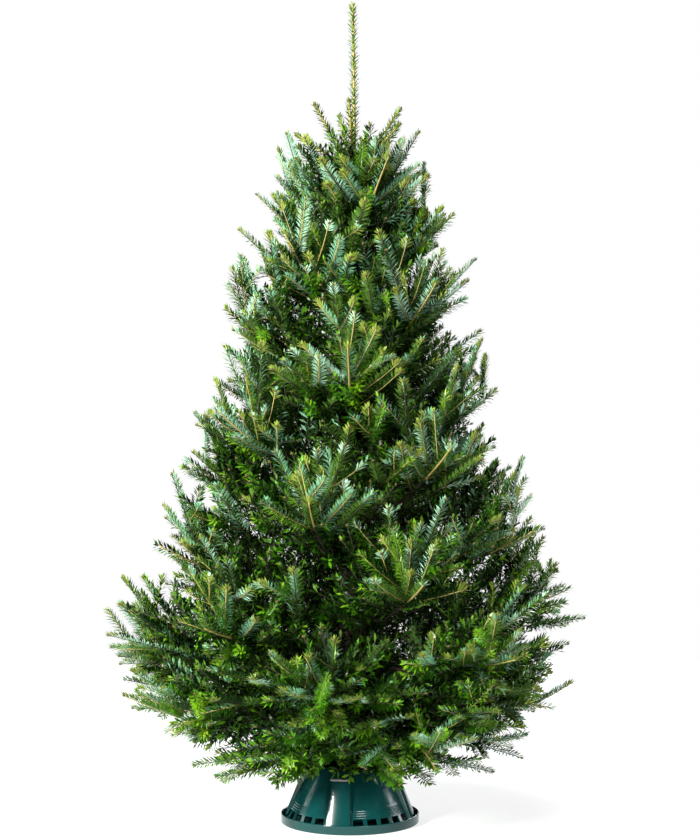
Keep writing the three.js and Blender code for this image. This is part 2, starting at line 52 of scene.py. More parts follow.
# %% [markdown]
# ## Sizes
# A tree grows by a rule, so it is described by a few numbers: how far the crown reaches at each height, how
# steeply its boughs climb, and how one bough follows the last round the trunk. The heights of the trunk and
# the leader are read from the frame.

# %% The trunk and the crown in numbers
trunk_low, trunk_high = (np.array(corner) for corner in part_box("trunk"))
TRUNK_FOOT = trunk_low[2]
TRUNK_TIP = trunk_high[2]
TREE_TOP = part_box("leader")[1][2]
TRUNK_LEAN = 0.010
TRUNK_RADIUS = (0.036, 0.007)
FLARE = 0.004
FLARE_HEIGHT = 0.060

OUTLINE_HEIGHT = np.array([0.118, 0.165, 0.262, 0.37, 0.5, 0.63, 0.79, 0.93, 1.08, 1.22, 1.4, 1.49])
OUTLINE_REACH = np.array([0.262, 0.4, 0.47, 0.53, 0.522, 0.455, 0.398, 0.345, 0.3, 0.262, 0.19, 0.16])
CLIMB_HEIGHT = np.array([0.118, 0.25, 0.4, 0.6, 0.9, 1.2, 1.4])
CLIMB_MEAN = np.radians([-13, -2, 6, 16, 28, 38, 48])
CLIMB_TIP = np.radians([-42, -12, 14, 28, 39, 47, 55])

BOUGHS = 38
FIRST_TURN = np.radians(244)
TURN = np.radians(137.5)
EVENNESS = 0.130
BARE_LIMBS = 13  # the lowest boughs show bare wood before their foliage starts
BARE_SHARE = 0.34
SEED = 2024
print(f"trunk from {TRUNK_FOOT:.3f} to {TRUNK_TIP:.3f} m, tree top at {TREE_TOP:.3f} m")

# %% [markdown]
# ## Directions and seeded numbers
# Twigs are worked out as whole arrays, one row for each twig, so the helpers take arrays of vectors. Two
# kinds of chance are used. The small generator repeats the one that planned the construction model, so the
# boughs come out the same. The finer twigs draw from numpy's own generator with a fixed seed.

# %% Helpers for directions and chance
UP = np.array([0.0, 0.0, 1.0])


def unit(vectors):
    """Each vector divided by its length."""
    return vectors / np.linalg.norm(vectors, axis=-1, keepdims=True)


def mix(low, high, share):
    """low plus share times the way from low to high."""
    return low + (high - low) * share


def square_to(way, up):
    """The two directions square to way: to its side, which is way cross up, and over it, side cross way."""
    side = unit(np.cross(way, up))
    return side, unit(np.cross(side, way))


def between(first, second, angle):
    """The direction at an angle from first towards second: cosine times first plus sine times second."""
    angle = np.asarray(angle)[..., None]
    return np.cos(angle) * first + np.sin(angle) * second


def round_z(radius, turn, z):
    """Points at a radius and a turn round the upright axis: radius cosine, radius sine, height."""
    radius, turn, z = np.broadcast_arrays(radius, turn, z)
    return np.stack([radius * np.cos(turn), radius * np.sin(turn), z], axis=-1)


def circle(count):
    """Turns at even steps round a whole circle."""
    return np.linspace(0, 2 * np.pi, count + 1)[:-1]


def rows_of(count):
    """Each row number as often as its count says, and beside it the number of the repeat, from 0."""
    row = np.repeat(np.arange(len(count)), count)
    return row, np.arange(len(row)) - np.repeat(np.cumsum(count) - count, count)


def small_random(seed, count):
    """Each state is the last one times 16807, modulo 2147483647. Divided by that, it lies between 0 and 1."""
    states = [seed]
    for _ in range(count):
        states.append(states[-1] * 16807 % 2147483647)
    return np.array(states[1:]) / 2147483647


rng = np.random.default_rng(SEED)
print("first numbers of the small generator:", small_random(SEED, 3).round(4))

# %% [markdown]
# ## Where the boughs run
# A bough of a fir leaves the trunk and curves upwards as it reaches for light, while the oldest, lowest ones
# sag under their weight. A parabola in height over distance gives both. Each bough starts a golden-angle turn
# further round the trunk than the one below, which spreads them evenly with no two in line.

# %% Trunk and bough paths


def trunk_radius(z):
    """A straight taper from foot to tip, plus a flare that fades with the square of the height left in it."""
    share = (z - TRUNK_FOOT) / (TRUNK_TIP - TRUNK_FOOT)
    flare = np.clip(1 - (z - TRUNK_FOOT) / FLARE_HEIGHT, 0, None) ** 2
    return mix(*TRUNK_RADIUS, share) + FLARE * flare


def trunk_centre(z):
    """The trunk leans to one side in proportion to the height."""
    return np.stack([TRUNK_LEAN * z / TRUNK_TIP, np.zeros_like(z), z], axis=-1)


class Boughs:
    """Every bough, lowest first. The outline is shared out evenly among their tips."""

    def __init__(self):
        number = np.arange(BOUGHS)
        draws = small_random(SEED, 3 * BOUGHS).reshape(BOUGHS, 3)
        steps = np.hypot(np.diff(OUTLINE_REACH), np.diff(OUTLINE_HEIGHT))
        skin = steps * (OUTLINE_REACH[1:] + OUTLINE_REACH[:-1] + 2 * EVENNESS)
        sums = np.concatenate([[0], np.cumsum(skin)])
        target = (number + 0.5) / BOUGHS * sums[-1]
        self.azimuth = FIRST_TURN + number * TURN + 0.2 * (draws[:, 0] - 0.5)
        swell = (1 - 0.015 * np.cos(self.azimuth)) * (0.94 + 0.07 * draws[:, 1])
        self.reach = np.interp(target, sums, OUTLINE_REACH) * swell
        self.sway = 0.24 * (draws[:, 2] - 0.5)
        tip_height = np.interp(target, sums, OUTLINE_HEIGHT)
        mean = np.tan(np.interp(tip_height, CLIMB_HEIGHT, CLIMB_MEAN))
        self.end = np.tan(np.interp(tip_height, CLIMB_HEIGHT, CLIMB_TIP))
        self.start = 2 * mean - self.end
        self.base = tip_height - self.reach * mean
        self.foliage_from = np.where(number < BARE_LIMBS, BARE_SHARE, 0.0)

    def point(self, row, t):
        """Out along the bough's turn by reach times t, and up by a parabola that mixes its two slopes."""
        turn = self.azimuth[row] + self.sway[row] * t**2
        climb = self.reach[row] * (self.start[row] * t + (self.end - self.start)[row] * t**2 / 2)
        return trunk_centre(self.base[row]) + round_z(self.reach[row] * t, turn, climb)

    def at(self, row, t):
        """The point at a share t of the bough, and the way that it runs there, from a small step ahead."""
        here = self.point(row, t)
        return here, unit(self.point(row, t + 0.001) - here)

    def in_foliage(self, row, share):
        """The same at a share of the way from where the foliage starts to the tip."""
        return self.at(row, mix(self.foliage_from[row], 1.0, share))

    def stem_length(self):
        """The straight distance from where each bough's foliage starts to its tip."""
        number = np.arange(BOUGHS)
        run = self.point(number, np.ones(BOUGHS)) - self.point(number, self.foliage_from)
        return np.linalg.norm(run, axis=-1)


boughs = Boughs()
stem_length = boughs.stem_length()
print("bough reaches from", boughs.reach.min().round(3), "to", boughs.reach.max().round(3), "m")

# %% [markdown]
# ## The space that each mass may fill
# On a real tree neighbouring boughs shade each other, so each one fills the space nearest to itself. The same
# is done here: a point belongs to the bough whose lifted axis is nearest, with heights counted more than
# widths so that the masses come out flat, and nothing grows past the crown's outline.

# %% Own space of each mass
LIFT = 0.040
FLATNESS = np.array([1.0, 1.0, 1.7])
FREE = -1  # the mass of a twig that isn't any bough's own
HALVINGS = 7
SKIN_INSET, SKIN_DEPTH, SKIN_SHARE = 0.030, 0.120, 0.4
TOP_TAPER = 1.3  # how fast the crown narrows above its last measured height
FULLER = 0.035  # the crown reaches this share further to its left, and less to its right
axis_points = boughs.point(np.arange(BOUGHS)[:, None], np.linspace(0.12, 1, 9)[None, :])
axis_points = (axis_points + LIFT * UP) * FLATNESS
axis_starts = axis_points[:, :-1].reshape(-1, 3)
axis_steps = np.diff(axis_points, axis=1).reshape(-1, 3)
axis_squares = (axis_steps**2).sum(axis=-1)
print("straight pieces of the lifted axes:", len(axis_steps))


def nearest_bough(points):
    """For each point, the bough with the shortest distance to any straight piece of its lifted axis."""
    spread = points * FLATNESS
    away = (spread @ axis_steps.T) - (axis_starts * axis_steps).sum(axis=-1)
    share = np.clip(away / axis_squares, 0, 1)
    foot = axis_starts + share[..., None] * axis_steps
    gaps = ((spread[:, None] - foot) ** 2).sum(axis=-1)
    return gaps.reshape(len(points), BOUGHS, -1).min(axis=-1).argmin(axis=-1)


def outline(z):
    """How far the crown reaches at a height, by straight lines between the measured ones."""
    return np.interp(z, OUTLINE_HEIGHT, OUTLINE_REACH)


def in_own_space(points, mass):
    """Inside the outline, above the lowest foliage, and nearer to its own bough than to any other.

    Only the outline stops a FREE twig.
    """
    out = np.hypot(points[:, 0] - TRUNK_LEAN * points[:, 2] / TRUNK_TIP, points[:, 1])
    reach = outline(points[:, 2]) - FULLER * points[:, 0]
    reach = reach - TOP_TAPER * np.clip(points[:, 2] - OUTLINE_HEIGHT[-1], 0, None)
    inside = (out < reach) & (points[:, 2] > OUTLINE_HEIGHT[0])
    owned = np.zeros(len(points), bool)
    for part in np.array_split(np.flatnonzero(inside), 1 + inside.sum() // 4000):
        owned[part] = (nearest_bough(points[part]) == mass[part]) | (mass[part] == FREE)
    return owned


def how_far_out(points):
    """0 deep inside the crown and 1 at its skin, which lies SKIN_INSET inside the outline.

    The way from one to the other is SKIN_DEPTH, and less near the top, where it is SKIN_SHARE of the reach.
    """
    out, limit = np.hypot(points[:, 0], points[:, 1]), outline(points[:, 2])
    return np.clip(1 - (limit - SKIN_INSET - out) / np.minimum(SKIN_DEPTH, SKIN_SHARE * limit), 0, 1)


def longest_inside(place, most, mass):
    """The greatest length whose place is still in the mass's own space, found by halving a step."""
    inside = np.zeros(len(most))
    step = most / 2
    for _ in range(HALVINGS):
        fits = in_own_space(place(inside + step), mass)
        inside = np.where(fits, inside + step, inside)
        step = step / 2
    return inside


# %% [markdown]
# ## Twigs
# A twig leaves its parent at an angle and bends gently back towards the parent's way and upwards to the
# light. A straight term plus a square term describe that curve exactly, so a batch of twigs is a few arrays.

# %% A batch of twigs
FIELDS = ("root", "start", "bend", "up", "length", "mass", "order")
STAND_OUT = 0.008  # a twig may pass its own space by this, and by half the room that the crown has


class Twigs:
    """A batch of twigs: point(s) is the root plus length times (start times s plus bend times s squared)."""

    def __init__(self, root, start, bend, up, length, mass, order):
        self.root, self.start, self.bend, self.up = root, start, bend, up
        self.length, self.mass = length, mass
        self.order = np.full(len(length), order)

    def point(self, row, s):
        """The root plus the straight and the square term."""
        s = np.asarray(s)[..., None]
        curve = self.start[row] * s + self.bend[row] * s**2
        return self.root[row] + self.length[row][..., None] * curve

    def at(self, row, s):
        """The point at a share s of the twig, and the way that it runs there, from the curve's slope."""
        return self.point(row, s), unit(self.start[row] + 2 * self.bend[row] * np.asarray(s)[..., None])

    def keep(self, chosen):
        """Only the chosen rows."""
        for name in FIELDS:
            setattr(self, name, getattr(self, name)[chosen])
        return self

    def fit(self, least, margin):
        """Shortens each twig until a point near its tip is in its own space, and drops the ones too short.

        The point is a margin ahead of the tip. Some twigs end well inside, and others with a negative margin
        stand out from the crown as single shoots, least where the crown is widest and near the top.
        """
        reach = outline(self.root[:, 2])
        room = np.minimum(OUTLINE_REACH.max() - reach, 0.12 * reach)
        ahead = np.maximum(rng.uniform(*margin, len(self.length)), -STAND_OUT - 0.5 * room)

        def tip(length):
            point, way = self.root + length[:, None] * (self.start + self.bend), self.start + 2 * self.bend
            return point + ahead[:, None] * unit(way)

        self.length = longest_inside(tip, self.length.copy(), self.mass)
        return self.keep(self.length >= least)

    def thin_out(self, kept):
        """Keeps every twig near the crown's skin, and only this share of those deep inside."""
        at_skin = how_far_out(spot(self, 0.8)) > 0
        return self.keep(at_skin | (rng.uniform(0, 1, len(self.length)) < kept))

    def find_mass(self):
        """Gives every twig the mass of the bough nearest to its outer part."""
        self.mass = nearest_bough(spot(self, 0.7))
        return self


def spot(twigs, s):
    """The point at the same share s of every twig of a batch."""
    return twigs.at(np.arange(len(twigs.length)), np.full(len(twigs.length), s))[0]


def joined(*batches):
    """Several batches as one."""
    return Twigs(*(np.concatenate([getattr(batch, name) for batch in batches]) for name in FIELDS))


# %% [markdown]
# ## The first side twigs
# Each mass has four strong side twigs, two at each of two places on its stem. They are the same ones that the
# construction model has, drawn with the same seeds, so both show the same fans.

# %% Strong side twigs on the boughs
STRONG_AT = (0.06, 0.4)
STRONG_ROLL = np.radians((4, 38))
STRONG_OPEN = 54
TWIG_RATIO, TWIG_EXTRA = 0.75, 0.190
CURL, RISE = 0.14, 0.08


def strong_twigs():
    """One twig on either hand at both places, opened by about 54 degrees and rolled upwards in turn."""
    draws = np.stack([small_random(SEED + 17 * (n + 1), 8) for n in range(BOUGHS)])
    place, hand = np.array([0, 0, 1, 1]), np.array([-1, 1, -1, 1])
    row = np.repeat(np.arange(BOUGHS), 4)
    share = np.tile(np.array(STRONG_AT)[place], BOUGHS)
    side_sign = np.tile(hand, BOUGHS)
    open_angle = np.radians(STRONG_OPEN + 8 * (2 * draws[:, 0::2].ravel() - 1))
    roll = np.tile(STRONG_ROLL[(place + (hand > 0)) % 2], BOUGHS)
    roll = roll + np.radians(12) * (2 * draws[:, 1::2].ravel() - 1)
    root, way = boughs.in_foliage(row, share)
    side, over = square_to(way, UP)
    start = between(way, between(side * side_sign[:, None], over, roll), open_angle)
    length = TWIG_RATIO * ((1 - share) * stem_length[row] + TWIG_EXTRA)
    twig_up = between(over, side, -side_sign * roll)
    return Twigs(root, start, CURL * way + RISE * UP, twig_up, length, row, 1)


strong = strong_twigs().fit(least=0.08, margin=(-0.035, 0.012))
print("strong side twigs:", len(strong.length))

# %% [markdown]
# ## The shoots along each bough
# Between the strong twigs a bough carries many lesser shoots, on its two sides and on top, shorter towards
# the tip. The lowest boughs have hanging ones too. The construction model shows them only as the teeth of its
# sprays. Here they are real shoots at even steps, with a little chance in their way and length.

# %% Lesser shoots on the boughs
BRUSH_PITCH = 0.046
BRUSH_WAYS = np.radians([172, 90, 8, 232, 258, 282, 308])
BRUSH_OPEN = np.radians(50)
ON_EACH_SIDE = 3  # the ways before this one are the two sides and the top, and the others hang
BRUSH_LEAST, BRUSH_MOST = 0.040, 0.200
CLEAN_TIP = 0.095  # the last year's growth has no side shoots yet
HANGING = 14  # this many of the lowest boughs also carry hanging shoots


def brush_shoots():
    """At each place one shoot a side and one above, three quarters as long as the bough has left to grow.

    The lowest boughs also carry four that hang, and those are shorter.
    """
    off_trunk = (trunk_radius(boughs.base) + 0.045) / stem_length
    bare = np.where(boughs.foliage_from > 0, 0.06, off_trunk)
    count = np.round((1 - bare) * stem_length / BRUSH_PITCH).astype(int)
    ways = len(BRUSH_WAYS)
    row, tooth = rows_of(ways * count)
    draw = rng.uniform(0, 1, len(row))
    share = bare[row] + (tooth // ways + 0.5) / count[row] * (1 - bare[row])
    root, way = boughs.in_foliage(row, share)
    side, over = square_to(way, UP)
    hangs = tooth % ways >= ON_EACH_SIDE
    lean = BRUSH_WAYS[tooth % ways] + np.radians(mix(14, 16, hangs)) * rng.uniform(-1, 1, len(row))
    opened = BRUSH_OPEN + np.radians(9) * rng.uniform(-1, 1, len(row))
    outward = between(side, over, lean)
    behind = (share - bare[row]) / (1 - bare[row])
    rule = np.minimum(BRUSH_MOST, BRUSH_LEAST + 0.75 * (1 - behind) * stem_length[row])
    rule = rule * (1 - 0.3 * draw) * mix(1, 0.6, hangs)
    bend = 0.10 * way + 0.07 * UP
    lesser = Twigs(root, between(way, outward, opened), bend, unit(over + 0.25 * UP), rule, row, 2)
    return lesser.keep(((1 - share) * stem_length[row] > CLEAN_TIP) & ~(hangs & (row >= HANGING)))


brush = brush_shoots().fit(least=0.045, margin=(-0.035, 0.02))
print("lesser shoots:", len(brush.length))

# %% [markdown]
# ## Shoots that stand up
# The buds on a bough's upper side grow into strong shoots that rise towards the light, past the bough above.
# They turn their silver undersides outwards, so on the real tree they are what catches the eye.

# %% Rising shoots
RISER_PITCH = 0.056
RISER_LENGTH = (0.17, 0.27)
RISER_FROM, RISER_SPAN = 0.30, 0.65


def risers():
    """At even steps along each bough's outer part, one shoot leaning left and right of upright in turn."""
    count = np.round(RISER_SPAN * stem_length / RISER_PITCH).astype(int)
    row, step = rows_of(count)
    share = RISER_FROM + RISER_SPAN * (step + rng.uniform(0.2, 0.8, len(row))) / count[row]
    root, way = boughs.in_foliage(row, share)
    side, over = square_to(way, UP)
    lean = np.radians(90 + np.where(step % 2, 30, -30) + rng.uniform(-16, 16, len(row)))
    start = between(way, between(side, over, lean), np.radians(rng.uniform(36, 56, len(row))))
    rule = rng.uniform(*RISER_LENGTH, len(row)) * np.clip(stem_length[row] / 0.35, 0.5, 1)
    free = np.full(len(row), FREE)
    return Twigs(root, start, 0.04 * way + 0.10 * UP, unit(over + 0.25 * UP), rule, free, 2)


rising = risers().fit(least=0.08, margin=(-0.02, 0.02))
print("rising shoots:", len(rising.length))

# %% [markdown]
# ## Side shoots on twigs
# Each year a twig grows one shoot straight on and a pair of shoots from the buds behind its tip. Counting
# back from the tip, there is a pair at every year's end, and the older a pair is, the longer it has grown.
# One function does it for any parent batch, and its result can be a parent batch again.

# %% Pairs of side shoots
YEAR_SHARE, YEAR_LIMITS = 0.45, (0.056, 0.105)


def side_shoots(parents, order, ratio, most=8, upright=0.35):
    """At k years from the tip, a shoot on either hand, ratio times as long as the parent is from there on.

    A year's growth is YEAR_SHARE of the whole parent, kept between the limits. Most lie beside the parent.
    The share called upright stands up from it towards the light.
    """
    year = np.clip(YEAR_SHARE * parents.length, *YEAR_LIMITS)
    count = np.clip((parents.length * 0.93 / year).astype(int), 0, most)
    row, number = rows_of(2 * count)
    k, hand = number // 2 + 1, 2 * (number % 2) - 1
    from_tip = (k + rng.uniform(-0.12, 0.12, len(row))) * year[row]
    share = np.clip(1 - from_tip / parents.length[row], 0.02, 1)
    root, way = parents.at(row, share)
    side, over = square_to(way, parents.up[row])
    stands = rng.uniform(0, 1, len(row)) < upright
    roll = np.radians(np.where(stands, rng.uniform(40, 95, len(row)), rng.uniform(-24, 30, len(row))))
    opened = np.radians(rng.uniform(40, 60, len(row)))
    start = between(way, between(side * hand[:, None], over, roll), opened)
    length = (ratio * from_tip + 0.012) * rng.uniform(0.72, 1.08, len(row))
    twig_up = unit(between(over, side, -hand * roll) + 0.9 * UP)
    bend = 0.13 * way + 0.06 * UP
    return Twigs(root, start, bend, twig_up, length, parents.mass[row], order)


second = side_shoots(strong, 3, 0.74).fit(least=0.055, margin=(-0.035, 0.02))
third = side_shoots(second, 4, 0.70, most=2).fit(least=0.050, margin=(-0.03, 0.03)).thin_out(0.5)
rising_side = side_shoots(rising, 3, 0.72, most=2, upright=0.15).fit(least=0.05, margin=(-0.02, 0.02))
brush_side = side_shoots(brush, 4, 0.72, most=2).fit(least=0.050, margin=(-0.03, 0.03)).thin_out(0.5)
print("side shoots:", [len(batch.length) for batch in (second, third, brush_side, rising_side)])

# %% [markdown]
# ## Weak boughs and shoots on the trunk
# Between its main boughs a young fir also carries thin ones, and short shoots straight out of the trunk. The
# thin boughs close the gaps between the masses, and the short shoots fill the shaded middle of the crown and
# hide the trunk. A dense fringe of thin, drooping shoots closes the foot of the crown. All three follow one
# another by the golden angle, like the main boughs, so one function makes them.

# %% Weak boughs, inner shoots and fringe
# each has its step up the trunk, and its length at the foot and near the top
WEAK_PITCH, WEAK_LENGTH = 0.0175, (0.50, 0.18)
INNER_PITCH, INNER_LENGTH = 0.0080, (0.19, 0.09)
FRINGE_PITCH, FRINGE_LENGTH, FRINGE_TOP = 0.0036, (0.34, 0.24), 0.36


def from_trunk(pitch, length, slopes, first_turn, highest=TRUNK_TIP - 0.02):
    """Up the trunk at equal steps, each a golden-angle turn on and about as steep as the boughs there."""
    height = np.arange(OUTLINE_HEIGHT[0] + 0.03, highest, pitch)
    turn = first_turn + np.arange(len(height)) * TURN
    slope = np.interp(height, CLIMB_HEIGHT, CLIMB_MEAN) + np.radians(rng.uniform(*slopes, len(height)))
    out = round_z(1, turn, 0)
    start = between(out, UP, slope)
    share = (height - height[0]) / (height[-1] - height[0])
    length = mix(*length, share) * rng.uniform(0.8, 1.1, len(height))
    bend = 0.12 * UP * np.clip(height / 0.3, 0, 1)[:, None]
    root = trunk_centre(height) + 0.8 * trunk_radius(height)[:, None] * out
    return Twigs(root, start, bend, unit(UP + 0.2 * out), length, np.full(len(height), FREE), 3)


weak = from_trunk(WEAK_PITCH, WEAK_LENGTH, (-10, 8), 1.1).fit(least=0.1, margin=(-0.04, 0.03))
weak_side = side_shoots(weak, 4, 0.72).fit(least=0.045, margin=(-0.03, 0.03))
weak_small = side_shoots(weak_side, 5, 0.7, most=1)
weak_small = weak_small.fit(least=0.045, margin=(-0.02, 0.03)).thin_out(0.5)
inner = from_trunk(INNER_PITCH, INNER_LENGTH, (-8, 26), 0.6)
inner_side = side_shoots(inner, 4, 0.7, most=1)
fringe = from_trunk(FRINGE_PITCH, FRINGE_LENGTH, (-26, 0), 2.3, FRINGE_TOP)
fringe = fringe.fit(least=0.06, margin=(-0.01, 0.02))
fringe_side = side_shoots(fringe, 4, 0.7, most=2).fit(least=0.04, margin=(-0.01, 0.02))
free_shoots = (rising, rising_side, weak, weak_side, weak_small, inner, inner_side, fringe, fringe_side)
extra = joined(*free_shoots).find_mass()
print("weak boughs, inner shoots, fringe and their shoots:", [len(b.length) for b in free_shoots[2:]])

# %% [markdown]
# ## The top of the tree
# A fir ends in one upright leader, with a whorl of young shoots round its foot. They are the youngest and
# straightest shoots of the tree, and their needles stand all round the stem.

# %% Leader and top whorl
WHORL = 7
WHORL_UP = 0.008  # how far over the leader's foot the whorl starts
top_foot = trunk_centre(np.array([TRUNK_TIP]))


def top_shoots():
    """The leader, a little bent, and seven shoots at equal turns, every other one steeper."""
    turn = np.radians(-97) + 2 * np.pi * np.arange(WHORL) / WHORL
    out = round_z(1, turn, 0)
    odd = np.arange(WHORL) % 2
    tip = np.where(odd, 0.140, 0.104)[:, None] * out + np.where(odd, 0.085, 0.136)[:, None] * UP
    length = np.linalg.norm(tip, axis=-1)
    bend = 0.08 * UP - 0.08 * out
    start = tip / length[:, None] - bend
    leader_length = TREE_TOP - TRUNK_TIP - WHORL_UP
    root = np.concatenate([top_foot, np.repeat(top_foot + WHORL_UP * UP, WHORL, axis=0)])
    start = np.concatenate([UP[None], start])
    bend = np.concatenate([[[-0.004 / leader_length, 0, 0]], bend])
    up = np.concatenate([[[0.0, 1.0, 0.0]], np.repeat(UP[None], WHORL, axis=0)])
    length = np.concatenate([[leader_length], length - 0.006])
    return Twigs(root, start, bend, up, length, np.full(WHORL + 1, BOUGHS), 0)


top = top_shoots()
print("top shoots:", len(top.length))

# %% [markdown]
# ## The boughs' own outer ends
# The outer part of each bough is a needled stem too. It follows the bough's own path, so it gets the same
# few fields as a batch of twigs and hands every question about its curve on to the boughs.

# %% Bough ends
END_FROM = 0.22


class BoughEnds:
    """The outer part of every bough, as a batch of twigs."""

    def __init__(self):
        self.row = np.arange(BOUGHS)
        self.first = np.maximum(boughs.foliage_from, END_FROM)
        run = boughs.point(self.row, np.ones(BOUGHS)) - boughs.point(self.row, self.first)
        self.length = np.linalg.norm(run, axis=-1)
        self.up = np.repeat(UP[None], BOUGHS, axis=0)
        self.mass = self.row
        self.order = np.ones(BOUGHS, int)

    def at(self, row, s):
        """A share s of the outer part is that share of the way from its first station to the bough's tip."""
        return boughs.at(row, mix(self.first[row], 1.0, s))


ends = BoughEnds()
shoots = joined(strong, brush, second, third, brush_side, extra, top)
print("shoots in all:", len(shoots.length), "with", shoots.length.sum().round(), "m of stem")

# %% [markdown]
# ## Making meshes from arrays
# Thousands of small things are far too many for separate objects, and the finished model can't hold
# instances. So every kind becomes one joined mesh, filled straight from arrays with foreach_set. Round things
# are grids: rings of points that follow one another, with two triangles in each cell between two rings.

# %% Mesh helpers


def add_mesh(name, points, faces, materials, look=None, smooth=True):
    """A mesh object at the origin. faces has one row of corners a face, look the material number of each."""
    mesh = bpy.data.meshes.new(name)
    mesh.vertices.add(len(points))
    mesh.vertices.foreach_set("co", np.ascontiguousarray(points, np.float32).ravel())
    mesh.loops.add(faces.size)
    mesh.loops.foreach_set("vertex_index", faces.ravel().astype(np.int32))
    mesh.polygons.add(len(faces))
    mesh.polygons.foreach_set("loop_start", np.arange(0, faces.size, faces.shape[1], dtype=np.int32))
    if look is not None:
        mesh.polygons.foreach_set("material_index", np.asarray(look, np.int32))
    mesh.polygons.foreach_set("use_smooth", np.full(len(faces), smooth))
    mesh.update(calc_edges=True)
    mesh.validate()
    for material in materials:
        mesh.materials.append(material)
    piece = bpy.data.objects.new(name, mesh)
    bpy.context.collection.objects.link(piece)
    return piece


def add_piece(name, slot, nodes, points, faces, materials, look=None, smooth=True):
    """A mesh fixed to the tree's one body, which stands for the named construction nodes."""
    piece = add_mesh(name, points, faces, materials, look, smooth)
    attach(piece, "root")
    if nodes:
        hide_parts(*nodes)
    print(name, "has", sum(len(face.vertices) - 2 for face in piece.data.polygons), "triangles")


def grid_faces(rows, columns, loop=False):
    """Two triangles for each cell. The columns run round and close, and with loop the rows close too."""
    i, j = np.meshgrid(np.arange(rows if loop else rows - 1), np.arange(columns), indexing="ij")
    below, above = i * columns, (i + 1) % rows * columns
    after = (j + 1) % columns
    first = np.stack([below + j, below + after, above + after], axis=-1)
    second = np.stack([below + j, above + after, above + j], axis=-1)
    return np.concatenate([first.reshape(-1, 3), second.reshape(-1, 3)])


def tube_faces(rows, columns):
    """A grid's faces, then a fan from its first ring to one point, and one from its last ring to another."""
    j = np.arange(columns)
    after, last = (j + 1) % columns, (rows - 1) * columns
    foot = np.stack([np.full(columns, rows * columns), after, j], axis=-1)
    tip = np.stack([np.full(columns, rows * columns + 1), last + j, last + after], axis=-1)
    return np.concatenate([grid_faces(rows, columns), foot, tip])


def closed_tube(grid):
    """A grid's points with the middles of its first and last rings, and the faces that close it there."""
    middles = grid[:1].mean(axis=1), grid[-1:].mean(axis=1)
    return np.concatenate([grid.reshape(-1, 3), *middles]), tube_faces(*grid.shape[:2])


def copies(faces, size, count):
    """The faces of one small thing of size points again for each of count things in a row."""
    return (faces[None] + size * np.arange(count)[:, None, None]).reshape(-1, 3)


def rings(centre, side, over, radius, turn):
    """A ring round each centre: centre plus radius times (cosine of turn times side plus sine times over)."""
    across = np.cos(turn)[:, None] * side[..., None, :] + np.sin(turn)[:, None] * over[..., None, :]
    return centre[..., None, :] + radius[..., None] * across


# %% [markdown]
# ## Finishes
# Needles, buds and young stems are so small that one plain colour each is enough. Bark, plastic and steel get
# a pattern: one noise drives their colour, their gloss and a fine relief together, as one grain does in life.

# %% Finishes


def plain_finish(name, colour, roughness, gloss=0.5):
    """A principled surface whose values are all set on its own sockets."""
    material = bpy.data.materials.new(name)
    material.use_nodes = True
    shader = material.node_tree.nodes["Principled BSDF"]
    shader.inputs["Base Color"].default_value = (*colour, 1)
    shader.inputs["Roughness"].default_value = roughness
    shader.inputs["Specular IOR Level"].default_value = gloss
    return material


def node(material, kind, **values):
    """A new node in a material, with its inputs set by name."""
    made = material.node_tree.nodes.new(kind)
    for name, value in values.items():
        made.inputs[name.replace("_", " ")].default_value = value
    return made


def ramp(material, source, stops):
    """A colour ramp over a source socket: stops are pairs of place and colour."""
    made = material.node_tree.nodes.new("ShaderNodeValToRGB")
    while len(made.color_ramp.elements) < len(stops):
        made.color_ramp.elements.new(0.5)
    for element, (place, colour) in zip(made.color_ramp.elements, stops):
        element.position = place
        element.color = (*colour, 1)
    material.node_tree.links.new(source, made.inputs["Fac"])
    return made.outputs["Color"]


def patterned_finish(name, scale, stops, roughness, bump, stretch=(1, 1, 1), metallic=0.0, gloss=0.5):
    """Colour, roughness and relief from one noise on Object coordinates.

    roughness is its least and most, bump its strength and depth, and stretch makes the noise longer one way.
    """
    material = plain_finish(name, stops[0][1], mix(*roughness, 0.5), gloss)
    links = material.node_tree.links
    shader = material.node_tree.nodes["Principled BSDF"]
    shader.inputs["Metallic"].default_value = metallic
    place = node(material, "ShaderNodeTexCoord")
    mapping = node(material, "ShaderNodeMapping", Scale=stretch)
    links.new(place.outputs["Object"], mapping.inputs["Vector"])
    noise = node(material, "ShaderNodeTexNoise", Scale=scale, Detail=6.0, Roughness=0.62)
    links.new(mapping.outputs["Vector"], noise.inputs["Vector"])
    links.new(ramp(material, noise.outputs["Fac"], stops), shader.inputs["Base Color"])
    polish = node(material, "ShaderNodeMapRange", To_Min=roughness[0], To_Max=roughness[1])
    links.new(noise.outputs["Fac"], polish.inputs["Value"])
    links.new(polish.outputs["Result"], shader.inputs["Roughness"])
    relief = node(material, "ShaderNodeBump", Strength=bump[0], Distance=bump[1])
    links.new(noise.outputs["Fac"], relief.inputs["Height"])
    links.new(relief.outputs["Normal"], shader.inputs["Normal"])
    return material


# %% [markdown]
# ## Bark
# The bark of a young fir is thin and grey-brown, with small resin blisters, fine upright cracks and a collar
# of swollen bark round every bough. The relief is worked out for each point of the trunk's grid. The colour
# comes from a noise drawn out upwards, like the cracks, and it never repeats.

# %% Bark finish
BARK_STOPS = [(0.28, (0.008, 0.005, 0.003)), (0.50, (0.026, 0.017, 0.010)), (0.72, (0.070, 0.052, 0.034))]
UPRIGHT_GRAIN = (1, 1, 0.45)
bark_finish = patterned_finish("fir_bark", 55, BARK_STOPS, (0.75, 0.95), (0.7, 0.002), UPRIGHT_GRAIN)
young_bark = plain_finish("young_bark", (0.300, 0.235, 0.065), 0.6)
print("bark finishes made")

